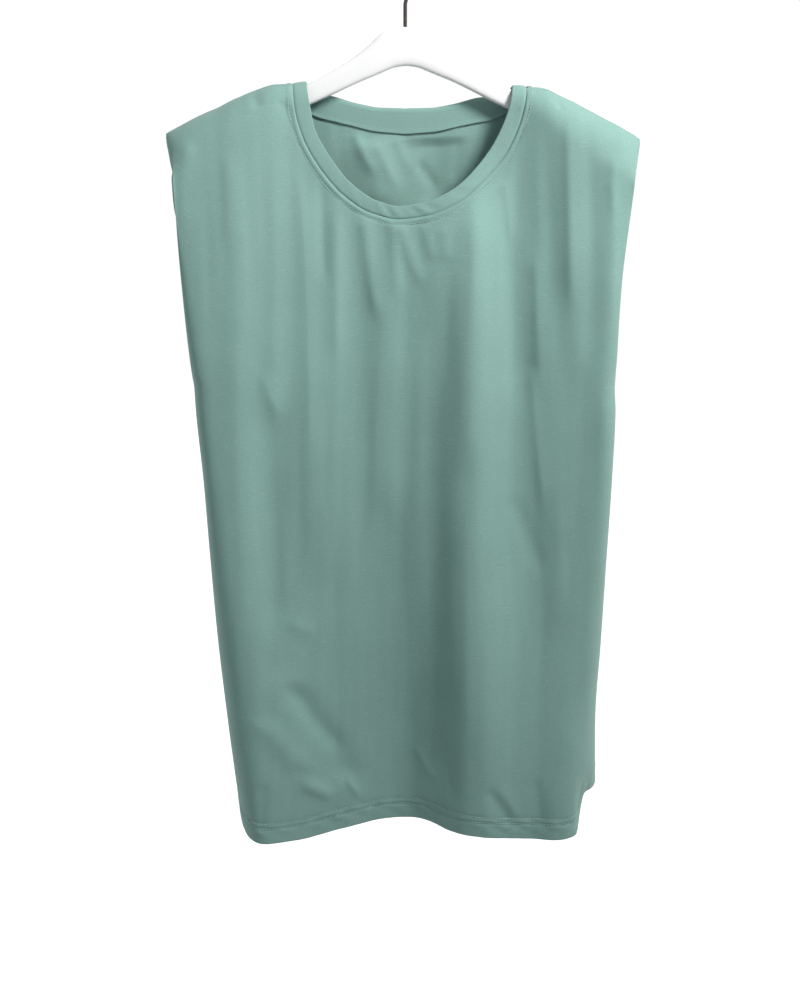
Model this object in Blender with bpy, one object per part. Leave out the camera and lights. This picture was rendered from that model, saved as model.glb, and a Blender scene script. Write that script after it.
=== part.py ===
"""Sleeveless top with padded shoulders, hanging from a flat hanger.

X runs across, the front faces -Y, +Z is up, and the origin is the inside top of the hook, where it bears
on a rod. The cloth is one closed surface: a ridge line over the shoulders, from which the front and the back
roll down and then hang in lofted sections. A place on it is given by how far across it is and by the square
root of its drop below the ridge line, positive in front and negative behind, which runs smoothly over the
shoulder.
Sizes in the tables are millimetres, and a drop is measured down from the origin.
"""

import math

import bpy
import numpy as np

MM = 0.001
WALL = 1.5
SEAM_GAP = 0.36
BAND_WALL = 1.7
BAND_WIDTH = 12.0
TAPE_WALL = 0.9
TAPE_GAP = 0.8
PAD_GAP = 0.9
SHOULDER_SEAM_ROOT = 1.15
SHOULDER_SEAM_STEP = 0.10
SIDE_ROUNDNESS = 12
TIP_ROUNDING = 20.0
TIP_CLOSING = 0.6
TIP_CLOSING_DROP = 46.0
SHOULDER_FADE = 150.0
FOLD_EDGE_POWER = 16

SHOULDER_COLUMNS = 11
NECK_COLUMNS = 20
PANEL_ROWS = 22
COLUMN_CROWDING = 1.6
NECK_CROWDING = 0.6
FANNED_ROOT = 26.0
ROW_CROWDING = 0.85
OVER_RIDGE_SHARE = 0.49
GRID_STEPS = 5
PAD_AROUND = 14
PAD_EDGE = 1.2
PAD_CROWN = 2.8
PAD_SWELL_POWER = 1.6

HANGER_HALF_THICKNESS = 6.0
HANGER_CORNER_POWER = 4.0
HANGER_AROUND = 12
HANGER_END = 190.0
HANGER_END_ROUND = 2.0
HANGER_END_SIZE = 0.72
HANGER_STATIONS = 39
HOOK_WIRE = 3.4
HOOK_INSIDE_RADIUS = 20.0
HOOK_SIDES = 8
HOOK_STEM_TOP = 58.0
HOOK_BEND = 10.0
HOOK_ARC = (-46, 196)
SOCKET_CLEARANCE = 0.3
SOCKET_DEPTH = 14.0
SOCKET_SIDES = 16
CUTTER_EXTRA = 3.0

# The shoulder line: drop of its ridge, half the depth of the roll over it, and the height of that roll.
SHOULDER_LINE = (
    # across, ridge, half_depth, roll
    (-216, 169.6, 35.0, 46),
    (-200, 160.8, 34.0, 45),
    (-184, 153.1, 32.5, 43),
    (-167, 145.4, 31.0, 40),
    (-152, 138.4, 29.0, 38),
    (-137, 132.0, 26.5, 35),
    (-121, 126.8, 22.0, 30),
    (-110, 125.4, 18.0, 24),
    (-100, 124.8, 14.5, 20),
    (-89, 123.2, 13.0, 18),
    (-60, 116.5, 11.5, 18),
    (0, 112.0, 11.5, 18),
    (60, 117.5, 11.5, 18),
    (88, 125.0, 13.0, 18),
    (97, 126.6, 13.5, 19),
    (109, 127.4, 16.5, 22),
    (123, 129.2, 21.5, 29),
    (138, 135.2, 26.0, 35),
    (157, 144.6, 29.5, 39),
    (180, 156.4, 32.0, 42),
    (204, 169.2, 34.0, 45),
    (212, 174.4, 35.0, 46),
)

# Edges of the hanging top by drop: its outline, how far back the side line lies, and half the armhole.
OUTLINE = (
    # drop, left, right, back_left, back_right, half_armhole
    (166, -215.8, 212.0, 0.0, 0.0, 35.0),
    (176, -214.4, 211.4, 0.0, 0.0, 35.0),
    (192, -210.0, 208.0, 0.0, 0.0, 35.0),
    (208, -205.9, 204.6, 0.0, 0.0, 34.5),
    (228, -205.0, 202.4, 0.0, 0.0, 33.5),
    (260, -203.6, 198.8, 0.0, 0.0, 31.5),
    (300, -201.4, 195.0, 0.0, 0.0, 28.0),
    (340, -198.6, 193.2, 0.0, 0.0, 23.0),
    (370, -196.2, 192.6, 0.0, 0.0, 16.5),
    (388, -194.6, 192.0, 0.3, 0.3, 8.5),
    (396, -194.0, 192.2, 0.6, 0.6, 0.2),
    (420, -192.8, 193.4, 1.5, 2.0, 0.2),
    (484, -187.2, 191.6, 4.0, 6.0, 0.2),
    (560, -182.6, 188.8, 8.0, 12.0, 0.2),
    (640, -177.2, 186.2, 12.0, 19.0, 0.2),
    (715, -170.0, 183.2, 16.0, 25.0, 0.2),
    (790, -161.4, 185.0, 19.0, 30.0, 0.2),
    (830, -156.8, 186.0, 20.0, 32.0, 0.2),
)

# Hem line, by how far across the flat panel from its left side to its right, 0 to 1.
HEM = (
    # across_share, front_drop, back_drop
    (0.00, 811, 811),
    (0.03, 818, 810),
    (0.07, 821, 809),
    (0.16, 821, 809),
    (0.29, 814, 812),
    (0.42, 808, 814),
    (0.51, 808, 815),
    (0.58, 815, 815),
    (0.64, 818, 813),
    (0.82, 818, 805),
    (0.925, 816, 797),
    (0.960, 790, 790),
    (1.00, 784, 784),
)

# Sections of the hanging front: how far each fold line lies across, and how far before the side line.
FRONT_SECTIONS = (
    # drop, left_edge, out, left_flat, out, centre_left, out, hollow, out,
    #       main_fold, out, right_flat, out, right, out, turn, out
    (150, -190, 26, -120, 17, -60, 14, 0, 14, 58, 14, 118, 17, 172, 24, 196, 27),
    (215, -180, 30, -120, 22, -62, 19, 14, 21, 62, 22, 118, 20, 166, 29, 190, 32),
    (317, -176, 35, -118, 28, -62, 25, 34, 26, 62, 37, 108, 29, 162, 35, 184, 36),
    (407, -174, 38, -122, 31, -66, 28, 20, 29, 60, 45, 102, 34, 158, 40, 184, 41),
    (500, -168, 42, -118, 33, -66, 30, 8, 31, 59, 52, 108, 38, 156, 42, 182, 42),
    (560, -163, 45, -112, 36, -64, 32, 3, 34, 61, 58, 114, 43, 154, 45, 180, 46),
    (670, -156, 55, -108, 45, -60, 38, 6, 39, 62, 67, 119, 57, 154, 58, 176, 58),
    (745, -150, 67, -108, 59, -60, 47, 14, 41, 64, 71, 118, 67, 155, 68, 176, 62),
    (790, -146, 76, -107, 70, -61, 54, 20, 41, 64, 74, 116, 76, 158, 77, 174, 40),
    (822, -143, 84, -107, 77, -61, 58, 25, 42, 64, 76, 116, 80, 160, 85, 172, 26),
)

# Sections of the hanging back, measured behind the side line.
BACK_SECTIONS = (
    # drop, left_edge, out, left_fold, out, left_hollow, out, centre, out,
    #       right_hollow, out, right_fold, out, right, out
    (150, -190, 26, -130, 18, -70, 13, 0, 13, 70, 13, 130, 18, 180, 26),
    (215, -180, 28, -118, 20, -66, 15, 0, 17, 66, 15, 118, 20, 176, 28),
    (317, -174, 27, -112, 25, -60, 17, 0, 23, 62, 17, 114, 25, 170, 27),
    (430, -168, 24, -104, 30, -54, 16, 4, 26, 60, 17, 112, 29, 166, 25),
    (560, -158, 22, -94, 34, -46, 14, 8, 28, 60, 15, 112, 31, 164, 24),
    (700, -146, 22, -86, 38, -38, 11, 12, 30, 62, 12, 114, 32, 162, 23),
    (822, -134, 23, -78, 42, -32, 9, 16, 32, 64, 9, 116, 33, 161, 24),
)

# Smaller folds of the front: where each lies at its top, middle and bottom, how wide and how proud it is.
FRONT_FOLDS = (
    # top_across, middle_across, bottom_across, top_drop, bottom_drop, half_width, proud
    (-139, -148, -148, 150, 690, 17, 5.0),
    (-62, -73, -70, 225, 600, 18, 3.0),
    (-19, -16, -15, 252, 540, 13, 3.5),
    (40, 16, 24, 270, 800, 15, -4.5),
    (122, 138, 151, 280, 640, 13, 4.5),
    (118, 136, 156, 140, 390, 14, -4.5),
    (152, 158, 163, 195, 380, 14, 5.0),
    (-124, -124, -122, 400, 640, 14, -3.5),
    (-118, -84, -50, 668, 772, 13, -6.0),
    (-138, -104, -70, 700, 790, 14, 6.0),
)

# The neck round its ring: 0 is the middle of the front, 90 the right neck point, 180 the middle of the back.
# Each line gives the seam and the free edge: across, and the drop below the ridge line, negative behind it.
NECK = (
    # turn, seam_across, seam_below, edge_across, edge_below
    (-180, 0.0, -46.2, 0.0, -34.8),
    (-158, -24.0, -44.6, -22.0, -33.2),
    (-138, -47.0, -38.4, -42.0, -28.0),
    (-122, -70.0, -29.4, -62.0, -20.0),
    (-108, -89.5, -18.0, -77.5, -12.4),
    (-98, -99.0, -5.4, -86.8, -4.6),
    (-90, -100.8, 0.0, -88.9, 0.0),
    (-82, -99.8, 8.0, -87.4, 7.4),
    (-72, -98.3, 23.9, -85.0, 21.8),
    (-58, -92.0, 47.8, -80.6, 44.0),
    (-44, -77.8, 77.6, -69.8, 67.8),
    (-30, -58.0, 105.4, -50.8, 95.6),
    (-14, -29.5, 126.6, -25.6, 115.4),
    (0, -5.5, 133.2, -5.5, 121.4),
    (14, 18.0, 129.6, 15.6, 118.0),
    (30, 48.0, 114.0, 42.6, 103.4),
    (46, 74.0, 86.4, 65.6, 78.6),
    (60, 93.6, 55.0, 82.0, 49.8),
    (74, 104.3, 26.4, 91.8, 24.0),
    (83, 107.6, 9.6, 95.2, 8.8),
    (90, 108.6, 0.0, 96.2, 0.0),
    (98, 105.4, -5.6, 93.0, -4.8),
    (108, 92.6, -18.0, 80.0, -12.6),
    (122, 71.0, -29.2, 63.0, -19.6),
    (138, 47.4, -38.2, 42.6, -27.8),
    (158, 24.0, -44.6, 22.0, -33.2),
    (180, 0.0, -46.2, 0.0, -34.8),
)

# The tape along the back neck seam, from one shoulder seam round to the other.
NECK_TAPE = (
    # turn, width
    (108, 4.5),
    (122, 7.5),
    (150, 8.5),
    (180, 10.5),
    (210, 8.5),
    (238, 7.5),
    (252, 4.5),
)

# Top and lower edge of the flat hanger.
HANGER_OUTLINE = (
    # across, top, bottom
    (-190, 172.8, 188.5),
    (-167, 162.2, 179.5),
    (-137, 148.2, 167.0),
    (-110, 136.8, 155.4),
    (-95, 130.2, 148.6),
    (-83, 123.8, 143.0),
    (-60, 111.2, 132.6),
    (-40, 98.2, 123.6),
    (-28, 87.6, 118.8),
    (-19, 79.6, 115.0),
    (-9, 76.4, 111.2),
    (1, 76.0, 110.0),
    (11, 76.6, 111.4),
    (21, 79.4, 115.2),
    (30, 87.4, 118.8),
    (41, 97.0, 123.2),
    (60, 110.6, 132.0),
    (83, 123.8, 143.4),
    (97, 131.0, 149.8),
    (110, 137.6, 156.2),
    (137, 149.2, 168.0),
    (167, 163.4, 180.6),
    (190, 174.2, 189.8),
)

# Shoulder pads: how many of the panel's rows each reaches down, and under which of its columns.
PAD_REACH = (5.0, 5.0, 4.9, 4.8, 4.6, 4.3, 3.8, 3.1, 2.2, 1.4)
PADS = (
    # name, columns from the armhole in
    ("shoulder_pad_left", (2, 3, 4, 5, 6, 7, 8, 9, 10, 10.6)),
    ("shoulder_pad_right", (40, 39, 38, 37, 36, 35, 34, 33, 32, 31.4)),
)

CLOTH_COLOUR = (0.245, 0.372, 0.333, 1)
BAND_COLOUR = (0.240, 0.365, 0.327, 1)
PAD_COLOUR = (0.620, 0.640, 0.600, 1)
HANGER_COLOUR = (0.905, 0.905, 0.900, 1)
HOOK_COLOUR = (0.120, 0.105, 0.100, 1)


def clear_scene():
    for thing in list(bpy.data.objects):
        bpy.data.objects.remove(thing)


def table(rows):
    return np.array(rows, dtype=float).T


def knot_slopes(knots, values):
    """Slope at each knot: level at a peak or a hollow, else a mean of both sides, so no line overshoots."""
    sides = np.diff(values) / np.diff(knots)
    before, after = sides[:-1], sides[1:]
    same_way = before * after > 0
    total = np.where(same_way, before + after, 1)
    inner = np.where(same_way, 2 * before * after / total, 0)
    return np.concatenate([sides[:1], inner, sides[-1:]])


def curve(at, knots, values):
    """Smooth line through a table's values: cubic between the knots."""
    slopes = knot_slopes(knots, values)
    at = np.clip(at, knots[0], knots[-1])
    low = np.clip(np.searchsorted(knots, at) - 1, 0, len(knots) - 2)
    span = knots[low + 1] - knots[low]
    t = (at - knots[low]) / span
    start = (1 + 2 * t) * (1 - t) ** 2 * values[low] + t * (1 - t) ** 2 * span * slopes[low]
    end = t * t * (3 - 2 * t) * values[low + 1] + t * t * (t - 1) * span * slopes[low + 1]
    return start + end


def smooth(t):
    t = np.clip(t, 0, 1)
    return t * t * (3 - 2 * t)


def section(across, drop, rows):
    """Depth of a lofted section: smooth lines down the folds, and a smooth line across them at each drop."""
    columns = table(rows)
    lines = [curve(drop, columns[0], c) for c in columns[1:]]
    places, outs = lines[0::2], lines[1::2]
    last = len(places) - 1
    slopes = [(outs[k + 1] - outs[k - 1]) / (places[k + 1] - places[k - 1]) for k in range(1, last)]
    slopes = [0 * outs[0]] + slopes + [0 * outs[0]]
    depth = outs[0]
    for k in range(last):
        span = places[k + 1] - places[k]
        t = np.clip((across - places[k]) / span, 0, 1)
        start = (1 + 2 * t) * (1 - t) ** 2 * outs[k] + t * (1 - t) ** 2 * span * slopes[k]
        end = t * t * (3 - 2 * t) * outs[k + 1] + t * t * (t - 1) * span * slopes[k + 1]
        depth = np.where(across >= places[k], start + end, depth)
    return depth


def small_folds(across, drop):
    """The smaller folds of the front: rounded ridges and hollows along bent lines, fading at both ends."""
    proud = 0 * across
    for top_x, middle_x, bottom_x, top, bottom, half_width, height in FRONT_FOLDS:
        t = np.clip((drop - top) / (bottom - top), 0, 1)
        line = top_x * (1 - t) * (1 - 2 * t) + middle_x * 4 * t * (1 - t) + bottom_x * t * (2 * t - 1)
        fade = smooth(t * 5) * smooth((1 - t) * 5)
        proud = proud + height * fade * np.exp(-((across - line) / half_width) ** 2)
    return proud


def tip_closing(across, below, left, right):
    """How far the roll over the shoulder is closed by the rounded end of the pad, 1 away from it."""
    past = np.maximum(left + TIP_ROUNDING - across, across - right + TIP_ROUNDING) / TIP_ROUNDING
    round_end = np.sqrt(1 - np.clip(past, 0, 1) ** 2)
    share = TIP_CLOSING * (1 - smooth(below / TIP_CLOSING_DROP))
    return 1 - share * (1 - round_end)


def cloth(across, root):
    """Points of the cloth's outer face. root is the square root of the drop below the ridge."""
    across = np.asarray(across, float)
    root = np.asarray(root, float)
    line_x, ridges, half_depths, rolls = table(SHOULDER_LINE)
    drops, lefts, rights, back_lefts, back_rights, armholes = table(OUTLINE)
    below = root ** 2
    drop = curve(across, line_x, ridges) + below
    left, right = curve(drop, drops, lefts), curve(drop, drops, rights)
    share = np.clip((across - left) / (right - left), 0, 1)
    side_line = curve(drop, drops, back_lefts) * (1 - share) + curve(drop, drops, back_rights) * share
    edge = np.abs(2 * share - 1)
    rounding = np.sqrt(1 - edge ** SIDE_ROUNDNESS)
    inside = 1 - edge ** FOLD_EDGE_POWER
    front = root > 0
    hung = np.where(front, section(across, drop, FRONT_SECTIONS), section(across, drop, BACK_SECTIONS))
    hung = hung + np.where(front, small_folds(across, drop) * inside, 0)
    armhole = np.maximum(curve(drop, drops, armholes), SEAM_GAP / 2)
    body = armhole + (hung - armhole) * rounding
    over = curve(across, line_x, half_depths)
    near_ridge = 1 - smooth(below / SHOULDER_FADE)
    depth = over * near_ridge + body * (1 - near_ridge)
    roll = curve(across, line_x, rolls)
    rolled = np.abs(root) * np.sqrt(np.maximum(2 / roll - below / roll ** 2, 0))
    rolled = np.where(below < roll, rolled, 1) * tip_closing(across, below, left, right)
    y = side_line * smooth(below / SHOULDER_FADE) - np.where(front, 1, -1) * depth * rolled
    return np.stack([across, y, -drop], axis=-1)


def cloth_normals(across, root, sense=1.0):
    """Outward directions of the cloth's face, by small steps along it."""
    step = 0.02
    along = cloth(across + step, root) - cloth(across - step, root)
    down = cloth(across, root + step) - cloth(across, root - step)
    normal = np.cross(down, along) * sense
    return normal / np.linalg.norm(normal, axis=-1, keepdims=True)


def neck_ring(turn, share):
    """Across and root on the neck: share 0 is the seam, 1 the free edge, below 0 the panel beyond."""
    turns, seam_x, seam_below, edge_x, edge_below = table(NECK)
    turn = (np.asarray(turn, float) + 180) % 360 - 180
    signed = [np.sign(b) * np.sqrt(np.abs(b)) for b in (seam_below, edge_below)]
    seam = curve(turn, turns, seam_x), curve(turn, turns, signed[0])
    edge = curve(turn, turns, edge_x), curve(turn, turns, signed[1])
    return seam[0] + (edge[0] - seam[0]) * share, seam[1] + (edge[1] - seam[1]) * share


def shoulder_turns(root):
    """Turns round the neck at which its seam crosses the shoulder seam, left and right."""
    turns = np.linspace(-110, 110, 881)
    roots = neck_ring(turns, 0)[1]
    left = turns[turns < 0][np.argmin(np.abs(roots[turns < 0] - root))]
    right = turns[turns > 0][np.argmin(np.abs(roots[turns > 0] - root))]
    return left, right


def neck_spread():
    """Shares of the columns along the neck, crowded towards the neck points."""
    even = np.linspace(0, 1, NECK_COLUMNS + 1)
    return even * (1 - NECK_CROWDING) + (1 - np.cos(math.pi * even)) / 2 * NECK_CROWDING


def neck_turns(front):
    """Turns of the panel's columns along the neck, from its left shoulder seam to its right one."""
    left, right = shoulder_turns(SHOULDER_SEAM_ROOT)
    return left + ((right if front else right - 360) - left) * neck_spread()


def top_edge(front):
    """Top edge of a panel, armhole to armhole: across, root, share of the width, shoulder seam's root."""
    neck_x, neck_root = neck_ring(neck_turns(front), 0)
    crowd = np.linspace(0, 1, SHOULDER_COLUMNS + 1)[:-1] ** COLUMN_CROWDING
    tips = SHOULDER_LINE[0][0], SHOULDER_LINE[-1][0]
    left_x = tips[0] + (neck_x[0] - tips[0]) * crowd
    right_x = tips[1] + (neck_x[-1] - tips[1]) * crowd[::-1]
    across = np.concatenate([left_x, neck_x, right_x])
    front_seam = SHOULDER_SEAM_ROOT + SHOULDER_SEAM_STEP / tip_closing(across, 0, *tips)
    roots = front_seam.copy() if front else np.full_like(across, SHOULDER_SEAM_ROOT)
    roots[SHOULDER_COLUMNS + 1:-SHOULDER_COLUMNS - 1] = neck_root[1:-1]
    even = neck_x[0] + (neck_x[-1] - neck_x[0]) * neck_spread()
    share = (np.concatenate([left_x, even, right_x]) - tips[0]) / (tips[1] - tips[0])
    return across, roots, share, front_seam


def row_roots(top, first, end, front):
    """Roots of a panel's rows below its top edge. The back has one row more, over the ridge."""
    down = np.linspace(0, 1, PANEL_ROWS + 1)[1:, None] ** ROW_CROWDING
    if front:
        return np.concatenate([top[None], top + (end - top) * down])
    first = np.maximum(first, -top)
    rows = -(first + (end - first) * down)
    over_ridge = top[None] + (rows[:1] - top) * OVER_RIDGE_SHARE
    return np.concatenate([top[None], over_ridge, rows])


def panel_grid(front):
    """Across and root of every point of a panel, from its top edge down to its hem."""
    top_x, top_root, share, first = top_edge(front)
    hem = curve(share, table(HEM)[0], table(HEM)[1 if front else 2])
    line_x, ridges = table(SHOULDER_LINE)[:2]
    drops, lefts, rights = table(OUTLINE)[:3]
    top_drop = curve(top_x, line_x, ridges) + top_root ** 2
    left, right = curve(top_drop, drops, lefts), curve(top_drop, drops, rights)
    top_share = np.clip((top_x - left) / (right - left), 0, 1)
    across = top_x[None]
    for _ in range(GRID_STEPS):
        root = row_roots(top_root, first, np.sqrt(hem - curve(across[-1], line_x, ridges)), front)
        run = np.clip((np.abs(root) - np.abs(top_root)) / (FANNED_ROOT - np.abs(top_root)), 0, 1)
        held = (1 - run ** 2) ** 2
        drop = curve(across, line_x, ridges) + root ** 2
        left, right = curve(drop, drops, lefts), curve(drop, drops, rights)
        across = left + (right - left) * (share + (top_share - share) * held)
    return across, root


def add_object(name, points, faces, colour, roughness, metallic=0.0):
    mesh = bpy.data.meshes.new(name)
    mesh.from_pydata((np.reshape(points, (-1, 3)) * MM).tolist(), [], faces)
    mesh.validate()
    thing = bpy.data.objects.new(name, mesh)
    bpy.context.scene.collection.objects.link(thing)
    material = bpy.data.materials.new(name)
    material.use_nodes = True
    shader = material.node_tree.nodes["Principled BSDF"]
    shader.inputs["Base Color"].default_value = colour
    shader.inputs["Roughness"].default_value = roughness
    shader.inputs["Metallic"].default_value = metallic
    mesh.materials.append(material)
    mesh.shade_smooth()
    mesh.set_sharp_from_angle(angle=math.radians(40))
    return thing


def slab(name, face, back, colour, roughness, ring=False):
    """Closed sheet between two grids of points, its face to the outside. A ring closes along its rows."""
    rows, columns = face.shape[:2]
    number = np.arange(rows * columns).reshape(rows, columns)
    if ring:
        number = np.concatenate([number, number[:1]])
    other = number + rows * columns
    quads = [np.stack([number[:-1, :-1], number[1:, :-1], number[1:, 1:], number[:-1, 1:]], -1)]
    quads.append(np.stack([other[:-1, :-1], other[:-1, 1:], other[1:, 1:], other[1:, :-1]], -1))
    rims = [(number[:, 0], other[:, 0], 1), (number[:, -1], other[:, -1], -1)]
    if not ring:
        rims += [(number[0], other[0], -1), (number[-1], other[-1], 1)]
    for edge, under, sense in rims:
        rim = np.stack([edge[:-1], under[:-1], under[1:], edge[1:]], -1)
        quads.append(rim if sense > 0 else rim[:, ::-1])
    faces = np.concatenate([q.reshape(-1, 4) for q in quads]).tolist()
    points = np.concatenate([face.reshape(-1, 3), back.reshape(-1, 3)])
    return add_object(name, points, faces, colour, roughness)


def make_panel(name, front):
    across, root = panel_grid(front)
    face = cloth(across, root)
    normals = cloth_normals(across, root)
    back = face - normals * WALL
    if not front:
        face, back = face[:, ::-1], back[:, ::-1]
    slab(name, face, back, CLOTH_COLOUR, 0.85)


def make_neckband():
    """Rib band round the neck: a flat ring from the neck seam in to the free edge."""
    turns = np.concatenate([neck_turns(True)[:-1], neck_turns(False)[:0:-1]])
    across, root = neck_ring(turns[:, None], np.array([SEAM_GAP / BAND_WIDTH, 0.5, 1.0]))
    face = cloth(across, root)
    back = face - cloth_normals(across, root) * BAND_WALL
    slab("neckband", face, back, BAND_COLOUR, 0.85, ring=True)


def make_neck_tape():
    """Tape over the back neck seam, on the inside of the back panel."""
    turns = neck_turns(False)[::-1] % 360
    turns = turns[(turns > NECK_TAPE[0][0]) & (turns < NECK_TAPE[-1][0])]
    width = curve(turns, *table(NECK_TAPE))
    across, root = neck_ring(turns[:, None], -np.outer(width, [1.0, 0.5, 0.03]) / BAND_WIDTH)
    normals = cloth_normals(across, root)
    outer = cloth(across, root) - normals * (WALL + TAPE_GAP)
    slab("neck_tape", outer, outer - normals * TAPE_WALL, BAND_COLOUR, 0.85)


def hanger_top(across):
    hanger_x, tops = table(HANGER_OUTLINE)[:2]
    steep = (tops[-1] - tops[-2]) / (hanger_x[-1] - hanger_x[-2])
    return curve(across, hanger_x, tops) + np.maximum(np.abs(across) - HANGER_END, 0) * steep


def along_grid(points, row, column):
    """Points on a panel's own faces, at part rows and part columns of its grid."""
    row, column = np.broadcast_arrays(row, column)
    i = np.clip(np.floor(row).astype(int), 0, points.shape[0] - 2)
    j = np.clip(np.floor(column).astype(int), 0, points.shape[1] - 2)
    s, t = (row - i)[..., None], (column - j)[..., None]
    upper = points[i, j] * (1 - t) + points[i, j + 1] * t
    lower = points[i + 1, j] * (1 - t) + points[i + 1, j + 1] * t
    return upper * (1 - s) + lower * s


def make_pad(name, columns):
    """Half-moon pad under the shoulder: its top follows the cloth's faces, and its underside the hanger."""
    columns = np.array(columns, float)[:, None]
    side = np.linspace(-1, 1, PAD_AROUND + 1)[None]
    outer, inner = [], []
    for front in (False, True):
        across, root = panel_grid(front)
        outer.append(cloth(across, root))
        inner.append(cloth_normals(across, root))
    rows = np.abs(side) * np.array(PAD_REACH)[:, None]
    behind = [along_grid(grid, rows + (rows > 0), columns) for grid in (outer[0], inner[0])]
    before = [along_grid(grid, rows, columns) for grid in (outer[1], inner[1])]
    face, normals = [np.where(side[..., None] > 0, f, b) for f, b in zip(before, behind)]
    face = face - normals * (WALL + PAD_GAP)
    across, drop = face[..., 0], -face[..., 2]
    line_x, ridges, _, rolls = table(SHOULDER_LINE)
    centre = np.maximum(curve(across, line_x, ridges) + curve(across, line_x, rolls), drop)
    inwards = np.stack([0 * across, -face[..., 1], drop - centre], -1)
    inwards = inwards / np.linalg.norm(inwards, axis=-1, keepdims=True)
    ridge = face[..., 2].max(axis=1, keepdims=True)
    room = ridge + hanger_top(across) - PAD_CROWN
    thick = PAD_EDGE + (np.maximum(room, PAD_EDGE) - PAD_EDGE) * (1 - np.abs(side) ** PAD_SWELL_POWER)
    under = face + inwards * thick[..., None]
    if columns[0, 0] > columns[-1, 0]:
        face, under = face[::-1], under[::-1]
    slab(name, face[::-1], under[::-1], PAD_COLOUR, 0.9)


def loft(rings, name, colour, roughness, metallic=0.0):
    """Closed solid through rings of points, with a point closing each end."""
    rings = np.asarray(rings)
    count, around = rings.shape[:2]
    ends = rings[0].mean(axis=0), rings[-1].mean(axis=0)
    points = np.concatenate([rings.reshape(-1, 3), np.stack(ends)])
    faces = []
    for i in range(count - 1):
        for j in range(around):
            k = (j + 1) % around
            faces.append((i * around + j, i * around + k, (i + 1) * around + k, (i + 1) * around + j))
    last = (count - 1) * around
    for j in range(around):
        k = (j + 1) % around
        faces.append((count * around, k, j))
        faces.append((count * around + 1, last + j, last + k))
    return add_object(name, points, faces, colour, roughness, metallic)


def make_hanger_body():
    """Flat arched hanger: rounded upright sections along its length, with a socket for the hook's stem."""
    hanger_x, tops, bottoms = table(HANGER_OUTLINE)
    full = HANGER_END - HANGER_END_ROUND
    stations = np.concatenate([[-HANGER_END], np.linspace(-full, full, HANGER_STATIONS), [HANGER_END]])
    angles = np.linspace(0, 2 * math.pi, HANGER_AROUND, endpoint=False) + math.pi / HANGER_AROUND
    power = 2 / HANGER_CORNER_POWER
    side = np.sign(np.cos(angles)) * np.abs(np.cos(angles)) ** power
    rise = np.sign(np.sin(angles)) * np.abs(np.sin(angles)) ** power
    rings = []
    for x in stations:
        size = HANGER_END_SIZE if abs(x) == HANGER_END else 1.0
        top, bottom = curve(x, hanger_x, tops), curve(x, hanger_x, bottoms)
        middle, half = (bottom + top) / 2, (bottom - top) / 2 * size
        rings.append(np.stack([0 * side + x, side * HANGER_HALF_THICKNESS * size, rise * half - middle], -1))
    body = loft(rings, "hanger_body", HANGER_COLOUR, 0.35)
    cutter_top = hanger_top(0.0) - CUTTER_EXTRA
    depth = SOCKET_DEPTH + CUTTER_EXTRA
    bpy.ops.mesh.primitive_cylinder_add(
        vertices=SOCKET_SIDES,
        radius=(HOOK_WIRE / 2 + SOCKET_CLEARANCE) * MM / math.cos(math.pi / SOCKET_SIDES),
        depth=depth * MM,
        location=(0, 0, -(cutter_top + depth / 2) * MM),
    )
    cutter = bpy.context.object
    cutter.name = "socket_cutter"
    cutter.hide_render = True
    cutter.display_type = "WIRE"
    cut = body.modifiers.new("socket", "BOOLEAN")
    cut.operation = "DIFFERENCE"
    cut.solver = "EXACT"
    cut.object = cutter


def hook_path():
    """Centre line of the hook: up the stem, out to the right, and over the top to an open end."""
    radius = HOOK_INSIDE_RADIUS + HOOK_WIRE / 2
    centre_z = -HOOK_INSIDE_RADIUS
    foot = -(hanger_top(0.0) + SOCKET_DEPTH - SOCKET_CLEARANCE)
    start, finish = np.radians(HOOK_ARC)
    stem_top = np.array([0.0, -HOOK_STEM_TOP])
    join = np.array([radius * math.cos(start), centre_z + radius * math.sin(start)])
    t = np.linspace(0, 1, 11)[1:-1, None]
    out_of_stem = stem_top + np.array([0, HOOK_BEND])
    into_arc = join - HOOK_BEND * np.array([-math.sin(start), math.cos(start)])
    first_half = (1 - t) ** 3 * stem_top + 3 * t * (1 - t) ** 2 * out_of_stem
    bend = first_half + 3 * t * t * (1 - t) * into_arc + t ** 3 * join
    angles = np.linspace(start, finish, 29)
    arc = np.stack([radius * np.cos(angles), centre_z + radius * np.sin(angles)], -1)
    stem = np.linspace([0.0, foot], stem_top, 4)[:-1]
    flat = np.concatenate([stem, stem_top[None], bend, arc])
    return np.stack([flat[:, 0], 0 * flat[:, 0], flat[:, 1]], -1)


def make_hanger_hook():
    path = hook_path()
    along = np.gradient(path, axis=0)
    along /= np.linalg.norm(along, axis=1, keepdims=True)
    across = np.array([0.0, 1.0, 0.0])
    angles = np.linspace(0, 2 * math.pi, HOOK_SIDES, endpoint=False)
    rings = []
    for point, direction in zip(path, along):
        upright = np.cross(direction, across)
        ring = np.outer(np.cos(angles), across) + np.outer(np.sin(angles), upright)
        rings.append(point + ring * HOOK_WIRE / 2)
    tip = path[-1] + along[-1] * HOOK_WIRE * 0.35
    rings.append(tip + (rings[-1] - path[-1]) * 0.6)
    loft(rings, "hanger_hook", HOOK_COLOUR, 0.3, 1.0)


def build():
    clear_scene()
    make_panel("front_panel", True)
    make_panel("back_panel", False)
    make_neckband()
    make_neck_tape()
    for pad in PADS:
        make_pad(*pad)
    make_hanger_body()
    make_hanger_hook()


build()
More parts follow.
